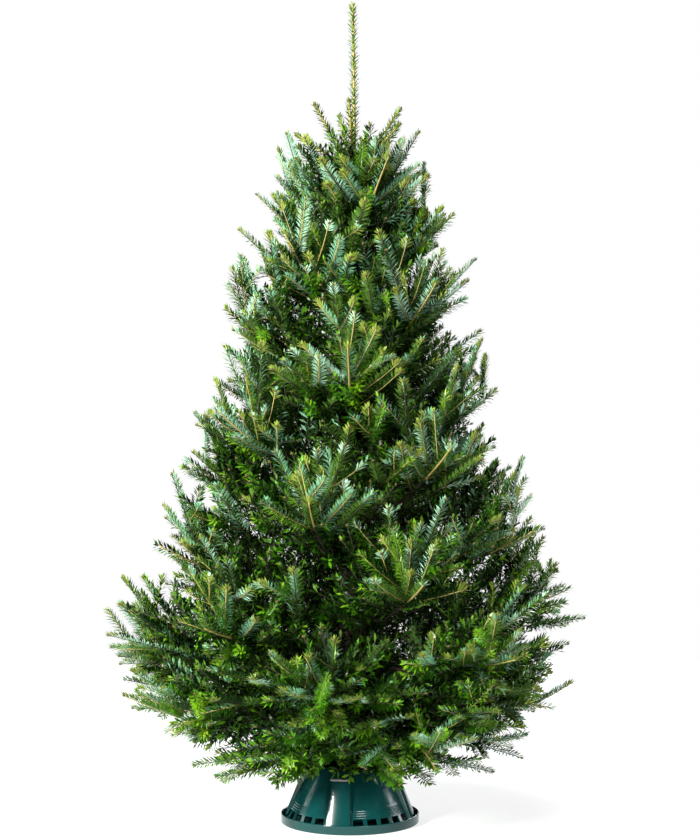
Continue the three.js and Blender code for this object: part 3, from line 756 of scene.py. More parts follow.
# %% Trunk with its bark
COLLAR = (0.004, 0.017)  # height and width of the swelling round a bough
BLISTERS = 320
TRUNK_GRID = (230, 64)
BARK_SUNK = 0.001  # the relief starts a little under the plain trunk


def bark_relief(turn, z):
    """Upright cracks, plus a soft bump for each blister and a larger one for each bough's collar.

    A bump is its height times e to the minus square of distance over width.
    """
    cracks = 0.0009 * np.abs(np.sin(4.5 * turn + 1.2 * np.sin(38 * z) + 0.7 * np.sin(91 * z + 2 * turn)))
    ripple = 0.0004 * np.sin(260 * z + 3 * np.sin(5 * turn))
    spot_turn = np.concatenate([boughs.azimuth, rng.uniform(0, 2 * np.pi, BLISTERS)])
    spot_z = np.concatenate([boughs.base, rng.uniform(TRUNK_FOOT + 0.02, TRUNK_TIP - 0.05, BLISTERS)])
    height = np.concatenate([np.full(BOUGHS, COLLAR[0]), rng.uniform(0.0006, 0.0015, BLISTERS)])
    width = np.concatenate([np.full(BOUGHS, COLLAR[1]), rng.uniform(0.003, 0.006, BLISTERS)])
    across = np.angle(np.exp(1j * (turn[..., None] - spot_turn))) * trunk_radius(z)[..., None]
    distance = (across**2 + (z[..., None] - spot_z) ** 2) / width**2
    return cracks + ripple + (height * np.exp(-distance)).sum(axis=-1)


trunk_steps = np.linspace(TRUNK_FOOT, TRUNK_TIP, TRUNK_GRID[0])
z, turn = np.meshgrid(trunk_steps, circle(TRUNK_GRID[1]), indexing="ij")
bark_radius = trunk_radius(z) + bark_relief(turn, z) - BARK_SUNK
trunk_grid = round_z(bark_radius, turn, 0) + trunk_centre(z)
add_piece("trunk_bark", "bark", ["trunk"], *closed_tube(trunk_grid), [bark_finish])

# %% [markdown]
# ## Wood of the boughs
# A bough is thickest at the trunk and thins fast at first, then slowly, as the square root of the way out.
# Small ridges across it mark the years and the old bud scars.

# %% Wood of the boughs
WOOD_GRID = (34, 9)
YOUNG_WOOD = 0.10  # how much of a bough's end still has young bark
WOOD_TIP = 0.0013


def bough_radius(row, t):
    """From the radius at the trunk to the tip's by the root of t, with small ridges along it."""
    at_trunk = np.minimum(0.28 * trunk_radius(boughs.base) + 0.0034, 0.012)[row]
    reach = boughs.reach[row]
    ridges = 1 + 0.05 * np.sin(95 * reach * t + 3 * row) + 0.03 * np.sin(240 * reach * t)
    return mix(at_trunk, WOOD_TIP, np.sqrt(t)) * ridges


def bough_wood():
    """Rings square to each bough at even shares of it. Every bough is a closed tube, and all are joined."""
    row, t = np.meshgrid(np.arange(BOUGHS), np.linspace(0.004, 0.995, WOOD_GRID[0]), indexing="ij")
    centre, way = boughs.at(row, t)
    turn = circle(WOOD_GRID[1])
    lumps = 1 + 0.06 * np.sin(3 * turn + 40 * t[..., None] + row[..., None])
    limbs = rings(centre, *square_to(way, UP), bough_radius(row, t)[..., None] * lumps, turn)
    points = np.stack([closed_tube(limb)[0] for limb in limbs])
    return points.reshape(-1, 3), copies(tube_faces(*WOOD_GRID), points.shape[1], BOUGHS)


wood_points, wood_faces = bough_wood()
from_axis = np.linalg.norm(wood_points[wood_faces[:, 0]][:, :2], axis=-1)
is_young = from_axis > np.repeat(boughs.reach, len(wood_faces) // BOUGHS) - YOUNG_WOOD
limb_names = [f"bough_{n + 1:02d}" for n in range(BARE_LIMBS)]
add_piece("bough_wood", "bark", limb_names, wood_points, wood_faces, [bark_finish, young_bark], is_young)

# %% [markdown]
# ## The stand
# The stand is three mouldings in glossy dark green plastic: a shallow tray, a water bucket, and a cone-shaped
# skirt with four buttresses that carry the clamp screws. Each is a profile turned round the axis. The skirt's
# profile changes with the turn, because the buttresses stand out of it and its foot is cut into tabs.

# %% Plastic and steel
PLASTIC_STOPS = [(0.30, (0.0016, 0.031, 0.031)), (0.70, (0.0027, 0.045, 0.045))]
STEEL_STOPS = [(0.35, (0.15, 0.155, 0.16)), (0.65, (0.26, 0.26, 0.255))]
plastic_finish = patterned_finish(
    "green_plastic", 9, PLASTIC_STOPS, (0.10, 0.19), (0.05, 0.0004), gloss=0.42)
steel_finish = patterned_finish(
    "zinc_steel", 300, STEEL_STOPS, (0.42, 0.60), (0.1, 0.0003), metallic=1.0)
print("stand finishes made")

# %% Rounded profiles


def rounded(corners, radii, steps=5):
    """Each corner of a profile becomes a curve from one side to the next.

    It is (1 - t) squared times a, plus 2 t (1 - t) times the corner, plus t squared times b.
    """
    corners, radii = np.array(corners, float), np.array(radii, float)
    before, after = np.roll(corners, 1, axis=0), np.roll(corners, -1, axis=0)
    a = corners + unit(before - corners) * radii[:, None]
    b = corners + unit(after - corners) * radii[:, None]
    t = np.linspace(0, 1, steps)[None, :, None]
    curve = (1 - t) ** 2 * a[:, None] + 2 * t * (1 - t) * corners[:, None] + t**2 * b[:, None]
    flat = curve.reshape(-1, 2)
    new = np.concatenate([[True], np.linalg.norm(np.diff(flat, axis=0), axis=-1) > 1e-7])
    return flat[new]


def turned(profile, turns, push=0.0):
    """The profile's radius and height carried round the axis. push moves the radius, by point and by turn."""
    return round_z(profile[:, 0, None] + push, turns[None, :], profile[:, 1, None])


# %% Tray
TRAY_RADIUS, _, TRAY_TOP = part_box("stand_tray")[1]
TRAY_WALL, TRAY_FLOOR = 0.0035, 0.005
MIDDLE_HOLE = 0.004  # the profiles start this far from the axis, and a fan closes the rest
LUGS, LUG_TOP, LUG_DEPTH = 16, 0.0165, 0.007  # small upright ribs inside the rim

tray_inside = TRAY_RADIUS - TRAY_WALL
tray_profile = rounded(
    [(MIDDLE_HOLE, 0), (TRAY_RADIUS, 0), (TRAY_RADIUS, TRAY_TOP), (tray_inside, TRAY_TOP),
     (tray_inside, TRAY_FLOOR), (MIDDLE_HOLE, TRAY_FLOOR)],
    [0, 0.0016, 0.0015, 0.0012, 0.0025, 0])
tray_turns = circle(384)
lug = np.clip(1 - np.abs(np.sin(tray_turns * LUGS / 2 + 0.45)) * 14, 0, 1)
out, height = tray_profile.T
inner_wall = (out < TRAY_RADIUS - 0.003) & (out > 0.1) & (height < LUG_TOP)
tray_grid = turned(tray_profile, tray_turns, push=-LUG_DEPTH * inner_wall[:, None] * lug[None, :])
add_piece("tray", "plastic", ["stand_tray"], *closed_tube(tray_grid), [plastic_finish])

# %% Water bucket
BUCKET_FOOT, BUCKET_TOP = (corner[2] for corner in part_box("stand_bucket"))
BUCKET_FLOOR = BUCKET_FOOT + 0.003
bucket_profile = rounded(
    [(MIDDLE_HOLE, BUCKET_FOOT), (0.062, BUCKET_FOOT), (0.0735, BUCKET_TOP - 0.004), (0.0755, BUCKET_TOP),
     (0.0715, BUCKET_TOP), (0.059, BUCKET_FLOOR), (MIDDLE_HOLE, BUCKET_FLOOR)],
    [0, 0.004, 0.002, 0.001, 0.001, 0.003, 0])
bucket_grid = turned(bucket_profile, circle(72))
add_piece("bucket", "plastic", ["stand_bucket"], *closed_tube(bucket_grid), [plastic_finish])

# %% Skirt with buttresses and tabs
SKIRT_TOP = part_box("stand_skirt")[1][2]
SKIRT_WALL, SKIRT_MOUTH = 0.0034, 0.064
CONE, BUTTRESS = (0.146, 0.079), (0.1485, 0.099)  # their radius at the foot and at the top
FIRST_BUTTRESS, BUTTRESS_HALF, BUTTRESS_EDGE = -101.0, 11.0, 0.9  # in degrees
NOTCHES, NOTCH_PITCH, NOTCH_WIDTH, NOTCH_TOP = 5, 13.3, 9.6, 0.028
RIDGES_FROM, RIDGES_TO = 0.029, 0.050


def smooth_step(x):
    """3x squared minus 2x cubed between 0 and 1."""
    x = np.clip(x, 0, 1)
    return x * x * (3 - 2 * x)


def from_middle(turn):
    """The angle from the middle of the nearest buttress, in degrees."""
    return np.abs((turn - FIRST_BUTTRESS + 45) % 90 - 45)


def skirt_radius(turn, z, inset=0.0):
    """The cone's radius at that height mixed with the buttress's across its narrow side.

    A sine of the height adds faint ridges, and a half wave across each panel hollows it a little.
    """
    share = (z - TRAY_FLOOR) / (SKIRT_TOP - TRAY_FLOOR)
    raised = smooth_step((BUTTRESS_HALF + BUTTRESS_EDGE - inset - from_middle(turn)) / BUTTRESS_EDGE)
    window = smooth_step((z - RIDGES_FROM) / 0.003) * smooth_step((RIDGES_TO - z) / 0.003)
    ridges = 0.0005 * np.sin(2 * np.pi * z / 0.0045) * window * (1 - raised)
    hollow = 0.0012 * np.sin(np.pi * np.clip((from_middle(turn) - 12) / 33, 0, 1)) * (1 - raised)
    return mix(mix(*CONE, share), mix(*BUTTRESS, share), raised) + ridges - hollow * (1 - share)


def foot_height(turn):
    """The tray's floor under a tab and the notch's top elsewhere."""
    panel = (turn - FIRST_BUTTRESS) % 90 - 45
    notch = np.round(np.clip(panel / NOTCH_PITCH, -(NOTCHES // 2), NOTCHES // 2)) * NOTCH_PITCH
    open_notch = smooth_step((NOTCH_WIDTH / 2 - np.abs(panel - notch)) / 0.35 + 0.5)
    return mix(TRAY_FLOOR, NOTCH_TOP, open_notch)


def skirt_turns():
    """Even steps of 1.5 degrees, and closer ones at every edge of a buttress or notch."""
    hand = np.array([-1, 1])
    notch = (np.arange(NOTCHES) - NOTCHES // 2)[:, None] * NOTCH_PITCH + 45 + hand * NOTCH_WIDTH / 2
    edges = np.concatenate([notch.ravel(), hand * (BUTTRESS_HALF + BUTTRESS_EDGE / 2)])
    edges = (FIRST_BUTTRESS + edges[:, None] + 90 * np.arange(4)).ravel()
    near = (edges[:, None] + np.array([-0.7, -0.35, -0.12, 0.12, 0.35, 0.7])) % 360
    return np.unique(np.round(np.concatenate([np.arange(0, 360, 1.5), near.ravel()]), 2))


def skirt_grid(turn):
    """Up the outside from the foot, over the rounded shoulder to the mouth, and down the inside again."""
    foot = foot_height(turn)[None, :]
    round_turn = np.radians(turn)
    low = mix(foot + 0.0006, RIDGES_FROM - 0.0005, np.array([0, 0.25, 0.6])[:, None])
    high = [np.linspace(RIDGES_FROM, RIDGES_TO, 20), np.linspace(0.055, SKIRT_TOP - 0.004, 12)]
    z = np.concatenate([low, np.concatenate(high)[:, None] + 0 * foot])
    outside = round_z(skirt_radius(turn, z), round_turn, z)
    top = skirt_radius(turn, SKIRT_TOP)
    shoulder = [(top - 0.0002, 0.0018), (top - 0.0011, 0.0005), (top - 0.0028, 0),
                (mix(top, SKIRT_MOUTH, 0.5), 0), (SKIRT_MOUTH + 0.001, 0), (SKIRT_MOUTH, 0.001),
                (SKIRT_MOUTH, SKIRT_WALL)]
    plate = np.stack([round_z(radius, round_turn, SKIRT_TOP - below) for radius, below in shoulder])
    down = np.linspace(SKIRT_TOP - SKIRT_WALL, RIDGES_FROM, 6)[:, None]
    z = np.concatenate([down + 0 * foot, foot + 0.0008, foot])
    inside = round_z(skirt_radius(turn, z, inset=1.8) - SKIRT_WALL, round_turn, z)
    edge = round_z(skirt_radius(turn, foot) - 0.0006, round_turn, foot)
    return np.concatenate([outside, plate, inside, edge])


skirt_points = skirt_grid(skirt_turns())
skirt_faces = grid_faces(*skirt_points.shape[:2], loop=True)
add_piece("skirt", "plastic", ["stand_skirt"], skirt_points.reshape(-1, 3), skirt_faces, [plastic_finish])

# %% [markdown]
# ## Clamp screws
# Four long screws go through the buttresses and press on the trunk. Each has a rolled thread and a cross bar
# to turn it by. A thread is a radius that rises and falls once for each turn round plus one pitch along.

# %% Clamp screws
SCREW_HEIGHT, SCREW_RADIUS, THREAD_PITCH, THREAD_DEPTH = 0.112, 0.004, 0.003, 0.0007
BAR_RADIUS, BAR_HALF = 0.0035, 0.021


def clamp_screw(azimuth):
    """A threaded shank with a rounded end, and a bar across its outer end.

    The thread is its depth times twice the distance of (length over pitch minus turn) from a half.
    """
    away = round_z(1, azimuth, 0)
    level = np.cross(UP, away)
    start = trunk_radius(SCREW_HEIGHT) - 0.002
    end = mix(*BUTTRESS, (SCREW_HEIGHT - TRAY_FLOOR) / (SKIRT_TOP - TRAY_FLOOR)) + 0.015
    turn = circle(12)
    s = np.linspace(start, end, 110)
    thread = THREAD_DEPTH * np.abs((s[:, None] / THREAD_PITCH - turn[None, :] / (2 * np.pi)) % 1 - 0.5) * 2
    radius = (SCREW_RADIUS - thread) * np.clip((s - start) / 0.002 + 0.6, 0, 1)[:, None]
    middle = s[:, None] * away + SCREW_HEIGHT * UP
    shank = closed_tube(rings(middle, level, UP, radius, turn))
    u = np.linspace(-1, 1, 17)
    bar_radius = BAR_RADIUS * np.clip((1 - np.abs(u) ** 14), 0.15, 1)[:, None]
    bar_middle = end * away + SCREW_HEIGHT * UP + (u * BAR_HALF)[:, None] * level
    bar = closed_tube(rings(bar_middle, UP, away, bar_radius, turn))
    return np.concatenate([shank[0], bar[0]]), np.concatenate([shank[1], bar[1] + len(shank[0])])


for number in range(4):
    made = clamp_screw(np.radians(FIRST_BUTTRESS + 90 * number))
    add_piece(f"screw_{number + 1}", "steel", [f"clamp_screw_{number + 1}"], *made, [steel_finish])

# %% [markdown]
# ## Finishes of the needles
# A fir needle is dark, waxy green above. Below, two white bands of wax make it look silver-blue. The colour
# changes from spray to spray: new growth is light and yellowish, sprays deep in the crown get dark, dull
# colours as painted shade, and outer sprays and those at the crown's foot get lighter ones as painted light.
# So there are five greens and five undersides, all plain colours, and each spray is dealt one of both.

# %% Needle colours
# The darkest green is painted shade for sprays deep in the crown. The next is used there too, and is also the
# leader's own dark green. The lighter greens are partly new growth and partly painted light, dealt more often
# to outer sprays and the crown's foot.
# each has its colour and its gloss
GREENS = {
    "needle_painted_shade": ((0.003, 0.012, 0.001), 0.08),
    "needle_deep": ((0.011, 0.050, 0.001), 0.18),
    "needle_green": ((0.048, 0.165, 0.003), 0.34),
    "needle_fresh_and_painted_light": ((0.098, 0.235, 0.006), 0.34),
    "needle_lime": ((0.205, 0.315, 0.018), 0.34),
}
# The dim underside is painted shade for deep sprays. The bright silver is partly the real wax and partly
# painted highlight, dealt more often to outer sprays.
UNDERSIDES = {
    "needle_under_painted_shade": ((0.006, 0.022, 0.003), 0.05),
    "needle_under_green": ((0.060, 0.135, 0.018), 0.12),
    "needle_silver": ((0.130, 0.300, 0.175), 0.2),
    "needle_silver_bright": ((0.330, 0.560, 0.400), 0.2),
    "needle_under_gold": ((0.180, 0.248, 0.036), 0.2),
}
WAXY, DULL = 0.32, 0.6
needle_looks = [plain_finish(name, colour, WAXY, gloss) for name, (colour, gloss) in GREENS.items()]
needle_looks += [plain_finish(name, colour, DULL, gloss) for name, (colour, gloss) in UNDERSIDES.items()]
FIRST_UNDERSIDE = len(GREENS)
DEEP, UNDER_GREEN, GOLD = (
    [*GREENS, *UNDERSIDES].index(f"needle_{look}") for look in ("deep", "under_green", "under_gold"))
print("needle finishes:", len(needle_looks))

# %% [markdown]
# ## Needles
# On a side shoot the needles part like hair: they stand out left and right of the stem and over it, and leave
# its underside bare. On the leader, and on many shaded shoots, they stand all round. Each needle is a closed
# sliver with a straight keel from root to tip and two shoulders raised over it, so it has its upper side, its
# underside and a real thickness with four faces. Deep inside the crown the needles are fewer and wider, where
# nobody sees them singly, and that keeps the model small.

# %% Growing the needles
NEEDLE_LENGTH = (0.025, 0.0205)  # deep inside the crown, and at its skin, as in the pairs that follow
NEEDLE_WIDTH = (0.0068, 0.0029)
OLD_PER_METRE = (155, 790)
NEW_PER_METRE = (240, 1290)
TOP_PER_METRE, TOP_LENGTH, TOP_WIDTH = 780, 0.95, 1.5  # on the leader and its whorl
NEEDLE_THICKNESS = 0.0006
SHOULDER = 0.58  # where a needle is widest, as a share of its length
NEW_GROWTH = 0.110  # how much of a shoot is this year's
SOFT_TIP = 0.016  # the last part, which is still yellowish
CROWDING = (0.2, 1.1)  # at the trunk, and from CROWDED_FROM of the way out
CROWDED_FROM, TRUNK_ZONE = 0.65, 0.06
# painted light: the sprays at the foot of the crown are dealt lighter colours
LOW_HEIGHT, LOW_PAINTED_LIGHT = 0.55, 0.55  # the foot of the crown gets lighter sprays
GREEN_LIMITS = [0.70, 1.02, 1.28, 1.66]
UNDER_LIMITS = [0.70, 1.08, 1.30]
GOLD_BELOW = 1.15


def deal_looks(share_out):
    """A green and an underside for each spray. New sprays may draw the lighter colours, and outer ones too,
    as painted light.

    Every shoot has six sprays: its old, its new and its soft part, each beside the stem and above it. A
    colour is the number of limits that a draw from 0 to 1, plus shares for outer and new, has passed. So deep
    sprays keep the dark colours, which are painted shade, and undersides above the stem draw a little darker,
    which is painted shade too. Gold goes only to the soft tips of outer sprays.
    """
    new = np.array([0.0, 1.0, 1.5])[:, None, None]
    above = np.array([0.0, 1.0])[:, None]
    shape = (3, 2, len(share_out))
    green = np.digitize(rng.uniform(0, 1, shape) + 0.40 * share_out + 0.25 * new, GREEN_LIMITS)
    chance = rng.uniform(0, 1, shape) + 0.38 * share_out + 0.15 * new - 0.15 * above
    under = FIRST_UNDERSIDE + np.digitize(chance, UNDER_LIMITS)
    under[2] = np.where((share_out > 0.5) & (chance[2] < GOLD_BELOW), GOLD, under[2])
    return green, under


def crowding(points):
    """How many needles live here against the usual: few at the trunk, and evenly more on the way out."""
    share = (np.hypot(points[:, 0], points[:, 1]) + TRUNK_ZONE) / (CROWDED_FROM * outline(points[:, 2]))
    return mix(*CROWDING, np.clip(share, 0, 1))


def place_needles(twigs, share_out, crowd):
    """The twig, the share of its length, the age and the count along it of each needle.

    Old and new growth each get their length times their needles a metre, at even steps with a little chance.
    """
    is_top = twigs.order == 0
    bare = np.where(is_top, 0.08, np.clip(0.4 * (twigs.length - 0.09) / twigs.length, 0.05, 0.4))
    turn_new = np.clip(1 - NEW_GROWTH / twigs.length, bare, 1)
    parts = []
    ends_at = [bare, turn_new, np.ones(len(bare))]
    for new, rate in enumerate((OLD_PER_METRE, NEW_PER_METRE)):
        first, last = ends_at[new : new + 2]
        density = np.where(is_top, TOP_PER_METRE, crowd * mix(*rate, share_out))
        row, number = rows_of(np.round((last - first) * twigs.length * density).astype(int))
        step = (number + rng.uniform(0.3, 0.7, len(row))) / np.bincount(row)[row]
        parts.append((row, mix(first[row], last[row], step), np.full(len(row), new), number))
    return (np.concatenate(column) for column in zip(*parts))


def needle_ways(twigs, row, share, number, all_round):
    """Each needle's root, direction and the way that its green side faces.

    Needles follow one another round the stem by the golden angle. On a side shoot the lower ones swing up to
    the sides, so that none stands lower than 16 degrees under them. Needles lean forward more on top of the
    stem and towards the tip. Shaded and short shoots often carry theirs all round, with the green side turned
    to the tip and the light.
    """
    root, way = twigs.at(row, share)
    side, over = square_to(way, twigs.up[row])
    spiral = (number * TURN / (2 * np.pi) + rng.uniform(-0.04, 0.04, len(row))) % 1
    hand = np.where(spiral < 0.5, 1.0, -1.0)
    swing = 2 * spiral % 1
    around = np.where(all_round, np.pi * (swing - 0.5), np.radians(-16 + 106 * swing**1.25))
    near_tip = np.clip(1 - (1 - share) * twigs.length[row] / 0.025, 0, 1)
    lean = 62 - 14 * np.clip(np.sin(around), 0, 1) - 24 * near_tip
    lean = np.where(twigs.order[row] == 0, 50 - 18 * near_tip, lean)
    outward = between(side * hand[:, None], over, around)
    direction = between(way, outward, np.radians(lean + rng.normal(0, 5, len(row))))
    brush_face = way - 0.25 * outward + 0.5 * UP
    face = np.where(all_round[:, None], brush_face, twigs.up[row] + 0.35 * UP)
    face = face + rng.normal(0, 0.16, (len(row), 3))
    face = unit(face - (face * direction).sum(axis=-1, keepdims=True) * direction)
    return root, direction, face, around > np.radians(40)


def needle_corners(root, direction, face, length, width):
    """Root, left shoulder, right shoulder and tip, the shoulders raised by the needle's thickness."""
    side = np.cross(face, direction)
    shoulder = root + SHOULDER * length[:, None] * direction + NEEDLE_THICKNESS * face
    half = 0.5 * width[:, None] * side
    tip = root + length[:, None] * direction
    return np.stack([root, shoulder + half, shoulder - half, tip], axis=1)


def grow_needles(twigs):
    """The corners of every needle of a batch, with its mass and its two looks.

    Brushes are the shoots with needles all round: a fifth of the stronger ones, and of the finest up to
    three quarters in the shade. The top shoots' looks go by turns. Needles get shorter at the very tip.
    """
    outer_part = spot(twigs, 0.8)
    top_twig = twigs.order == 0
    share_out = np.where(top_twig, 1.0, how_far_out(outer_part))
    brush_share = np.where(twigs.order > 2, 0.75 - 0.45 * share_out, 0.2)
    all_round = (rng.uniform(0, 1, len(twigs.length)) < brush_share) | top_twig
    # painted light and shade: the outer share, raised at the crown's foot, deals lighter colours there, and
    # deep sprays keep darker ones
    painted_lightness = share_out + LOW_PAINTED_LIGHT * np.clip(1 - outer_part[:, 2] / LOW_HEIGHT, 0, 1)
    row, share, age, number = place_needles(twigs, share_out, crowding(outer_part))
    root, direction, face, above = needle_ways(twigs, row, share, number, all_round[row])
    to_tip = (1 - share) * twigs.length[row]
    age = np.where(to_tip < SOFT_TIP, 2, age)
    green, under = (look[age, above.astype(int), row] for look in deal_looks(painted_lightness))
    is_top, odd = top_twig[row], number % 2
    green = np.where(is_top, DEEP + odd, green)
    under = np.where(is_top, np.where(odd, UNDER_GREEN, GOLD), under)
    length = mix(*NEEDLE_LENGTH, share_out[row]) * rng.uniform(0.86, 1.08, len(row))
    length = length * np.where(is_top, TOP_LENGTH, 1) * (0.72 + 0.28 * np.clip(to_tip / 0.012, 0, 1))
    width = mix(*NEEDLE_WIDTH, share_out[row]) * np.where(is_top, TOP_WIDTH, 1)
    return needle_corners(root, direction, face, length, width), twigs.mass[row], green, under


grown = [grow_needles(batch) for batch in (ends, shoots)]
corners, needle_mass, green, under = (np.concatenate(parts) for parts in zip(*grown))
print("needles:", len(corners))
print("by depth:", np.histogram(how_far_out(corners[:, 0]), 5)[0])

# %% Joining the needles into pieces
NEEDLE_FACES = np.array([[0, 2, 1], [1, 2, 3], [0, 1, 3], [0, 3, 2]])
PIECE_LIMIT = 190_000


def mass_groups(mass):
    """Consecutive masses together, as long as their needles' triangles stay under the limit of a piece."""
    groups, size = [[]], 0
    for number, amount in enumerate(len(NEEDLE_FACES) * np.bincount(mass, minlength=BOUGHS + 1)):
        if size + amount > PIECE_LIMIT:
            groups.append([])
            size = 0
        groups[-1].append(number)
        size += amount
    return groups


mass_names = [f"foliage_{n + 1:02d}" for n in range(BOUGHS)] + ["leader"]
looks = np.stack([green, green, under, under], axis=1)
for count, group in enumerate(mass_groups(needle_mass), 1):
    chosen = np.isin(needle_mass, group)
    made = corners[chosen].reshape(-1, 3), copies(NEEDLE_FACES, 4, chosen.sum())
    add_piece(f"needles_{count}", "needles", [mass_names[n] for n in group], *made,
              needle_looks, looks[chosen].ravel(), smooth=False)

# %% [markdown]
# ## Stems of the twigs
# Seen from below, the tan stem of each young shoot shows as a light line between its two combs of needles.
# Older twigs are brown. Each stem is a three-sided tube that follows its curve and thins towards the tip.

# %% Twig stems
old_bark = plain_finish("old_bark", (0.022, 0.016, 0.008), 0.9)
STATIONS, SIDES = 4, 3
OLD_LENGTH, OLD_DEPTH = 0.16, 0.45  # a stem is old if it is longer, or less far out in the crown


def stems(twigs, foot, tip):
    """Rings square to the curve at equal shares of it, and one point that closes each end."""
    rows = np.arange(len(twigs.length))[:, None]
    share = np.linspace(0, 1, STATIONS)[None, :]
    centre, way = twigs.at(rows, share)
    turn = 2 * np.pi * np.arange(SIDES) / SIDES + np.pi / 2
    radius = mix(foot[:, None], tip[:, None], share)[..., None]
    points = rings(centre, *square_to(way, twigs.up[rows]), radius, turn).reshape(len(rows), -1, 3)
    last = centre[:, -1:] + 1.5 * tip[:, None, None] * way[:, -1:]
    return np.concatenate([points, centre[:, :1], last], axis=1)


is_top = shoots.order == 0
foot_radius = 0.0008 + 0.0034 * shoots.length + 0.0022 * is_top
stem_points = stems(shoots, foot_radius, tip=np.where(is_top, 0.0028, 0.0010))
one_stem = tube_faces(STATIONS, SIDES)
is_old = ((shoots.length > OLD_LENGTH) | (how_far_out(spot(shoots, 0.8)) < OLD_DEPTH)) & ~is_top
look = np.repeat(is_old.astype(int), len(one_stem))
stem_faces = copies(one_stem, stem_points.shape[1], len(stem_points))
add_piece("twigs", "bark", [], stem_points.reshape(-1, 3), stem_faces, [young_bark, old_bark], look)

# %% [markdown]
# ## Buds
# A shoot that gets light ends in resinous brown buds: one at the very tip and, if it is strong, two beside
# it. A stretched eight-faced shape is enough for something a few millimetres long.

# %% Bud clusters
bud_finish = plain_finish("bud", (0.095, 0.075, 0.022), 0.45, gloss=0.3)
BUD_FACES = np.array(
    [[0, 1, 2], [0, 2, 3], [0, 3, 4], [0, 4, 1], [5, 2, 1], [5, 3, 2], [5, 4, 3], [5, 1, 4]])
BUD_LENGTH, BUD_RADIUS = 0.0068, 0.0024


def bud_cluster(twigs):
    """The end bud and, on the stronger shoots, one on either side of it, opened by 40 degrees.

    A bud is a point at its tip, four round it at 0.45 of its length, and one at its foot. Shoots deep in the
    shade have none.
    """
    parts = []
    grows_bud = how_far_out(spot(twigs, 1.0)) > 0
    for sign, scale in ((0, 1.0), (-1, 0.75), (1, 0.75)):
        rows = np.flatnonzero(grows_bud & ((twigs.length > 0.085) | (sign == 0)))
        foot, way = twigs.at(rows, np.ones(len(rows)))
        side, over = square_to(way, twigs.up[rows])
        lean = between(way, side * (sign or 1), np.full(len(rows), np.radians(40.0 * abs(sign))))
        across, above = square_to(lean, twigs.up[rows])
        size = scale * np.clip(twigs.length[rows] / 0.12, 0.6, 1.25)
        size = (size * np.where(twigs.order[rows] == 0, 1.4, 1))[:, None]
        middle = foot + 0.45 * (BUD_LENGTH * size) * lean
        width, height = BUD_RADIUS * size * across, BUD_RADIUS * size * above
        corners = (foot + BUD_LENGTH * size * lean, middle + width, middle + height, middle - width,
                   middle - height, foot)
        parts.append(np.stack(corners, axis=1))
    return np.concatenate(parts)


bud_points = bud_cluster(shoots)
add_piece("buds", "bark", [], bud_points.reshape(-1, 3), copies(BUD_FACES, 6, len(bud_points)), [bud_finish])

# %% [markdown]
# ## Camera
# The camera stands 4.15 m in front of the tree, level and a little under half its height, so that upright
# lines stay upright. The lens is a long one, which keeps the near boughs from looking too large.

# %% Camera
CAMERA_DISTANCE, CAMERA_HEIGHT, LENS = 4.15, 0.89, 80
camera_data = bpy.data.cameras.new("camera")
camera_data.lens = LENS
camera_data.sensor_width = 36
camera = bpy.data.objects.new("camera", camera_data)
bpy.context.collection.objects.link(camera)
camera.location = (0, -CAMERA_DISTANCE, CAMERA_HEIGHT)
camera.rotation_euler = (np.pi / 2, 0, 0)
bpy.context.scene.camera = camera
print("camera at", tuple(camera.location))

# %% [markdown]
# ## Floor and light
# A tree for sale is shown on white. A strong light from the front left draws the shoots and the streak on the
# stand, and weaker ones fill in from the front right, the sides, the back and above. The room itself gives
# only a little light, so that the inside of the crown stays dark, as it is in a dense young fir.

# %% Floor
FLOOR_RADIUS, FLOOR_DOWN, FLOOR_GLOW = 3.0, 0.0005, 0.68


def floor_disc():
    """A flat ring grid from the middle to the rim, a hair under the tray, and one point in the middle.

    Its faces are a tube's without the last fan, which would close the rim.
    """
    radius, turn = np.meshgrid(np.linspace(0.02, FLOOR_RADIUS, 24), circle(96), indexing="ij")
    grid = round_z(radius, -turn, -FLOOR_DOWN)
    points = np.concatenate([grid.reshape(-1, 3), [[0, 0, -FLOOR_DOWN]]])
    return points, tube_faces(*grid.shape[:2])[: -grid.shape[1]]


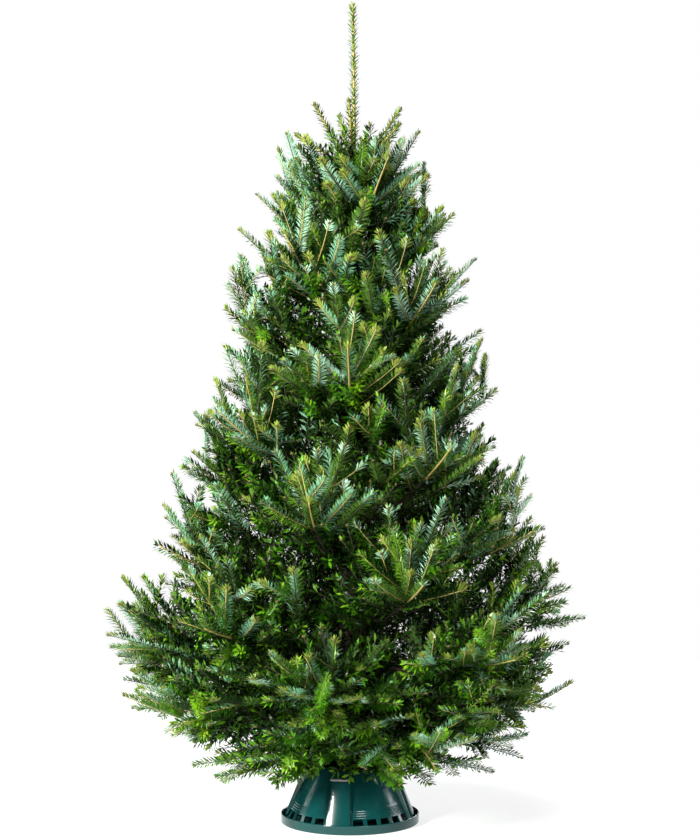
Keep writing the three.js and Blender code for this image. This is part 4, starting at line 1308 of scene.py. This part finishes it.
floor_finish = plain_finish("pale_floor", (0.35, 0.35, 0.35), 0.9)
floor_shader = floor_finish.node_tree.nodes["Principled BSDF"]
floor_shader.inputs["Emission Color"].default_value = (1, 1, 1, 1)
floor_shader.inputs["Emission Strength"].default_value = FLOOR_GLOW
floor_piece = add_mesh("floor", *floor_disc(), [floor_finish], smooth=False)
print("floor:", 2 * FLOOR_RADIUS, "m across")

# %% Lights
ROOM_LIGHT = 0.008


def soft_light(name, place, size, watts, colour=(1, 1, 1), target=(0, 0, 0.8)):
    """A rectangular lamp that looks from its place to its target."""
    data = bpy.data.lights.new(name, "AREA")
    data.shape = "RECTANGLE"
    data.size, data.size_y = size
    data.energy = watts
    data.color = colour
    lamp = bpy.data.objects.new(name, data)
    lamp.location = place
    way = Vector(target) - Vector(place)
    lamp.rotation_euler = way.to_track_quat("-Z", "Y").to_euler()
    bpy.context.collection.objects.link(lamp)


soft_light("key_light", (-2.8, -3.2, 2.3), (0.36, 1.5), 680, (1.0, 0.98, 0.92))
soft_light("fill_light", (1.7, -3.8, 0.9), (1.0, 1.2), 56, (1.0, 0.99, 0.95), target=(0, 0, 0.5))
soft_light("right_light", (3.4, 0.9, 1.5), (1.3, 1.6), 48, (0.90, 0.95, 1.0))
soft_light("left_light", (-3.4, 1.0, 1.7), (1.3, 1.6), 24, (0.96, 0.98, 1.0))
soft_light("back_light", (0.9, 3.7, 2.0), (1.3, 1.6), 90)
soft_light("top_light", (0.2, -0.3, 4.0), (1.2, 1.2), 110)

world = bpy.data.worlds.new("studio")
bpy.context.scene.world = world
world.use_nodes = True
nodes, links = world.node_tree.nodes, world.node_tree.links
room = nodes["Background"]
room.inputs["Color"].default_value = (1, 1, 1, 1)
room.inputs["Strength"].default_value = ROOM_LIGHT
white, either = nodes.new("ShaderNodeBackground"), nodes.new("ShaderNodeMixShader")
white.inputs["Color"].default_value = (1, 1, 1, 1)
seen = nodes.new("ShaderNodeLightPath")
links.new(seen.outputs["Is Camera Ray"], either.inputs["Fac"])
links.new(room.outputs["Background"], either.inputs[1])
links.new(white.outputs["Background"], either.inputs[2])
links.new(either.outputs["Shader"], nodes["World Output"].inputs["Surface"])
bpy.context.scene.view_settings.view_transform = "Standard"
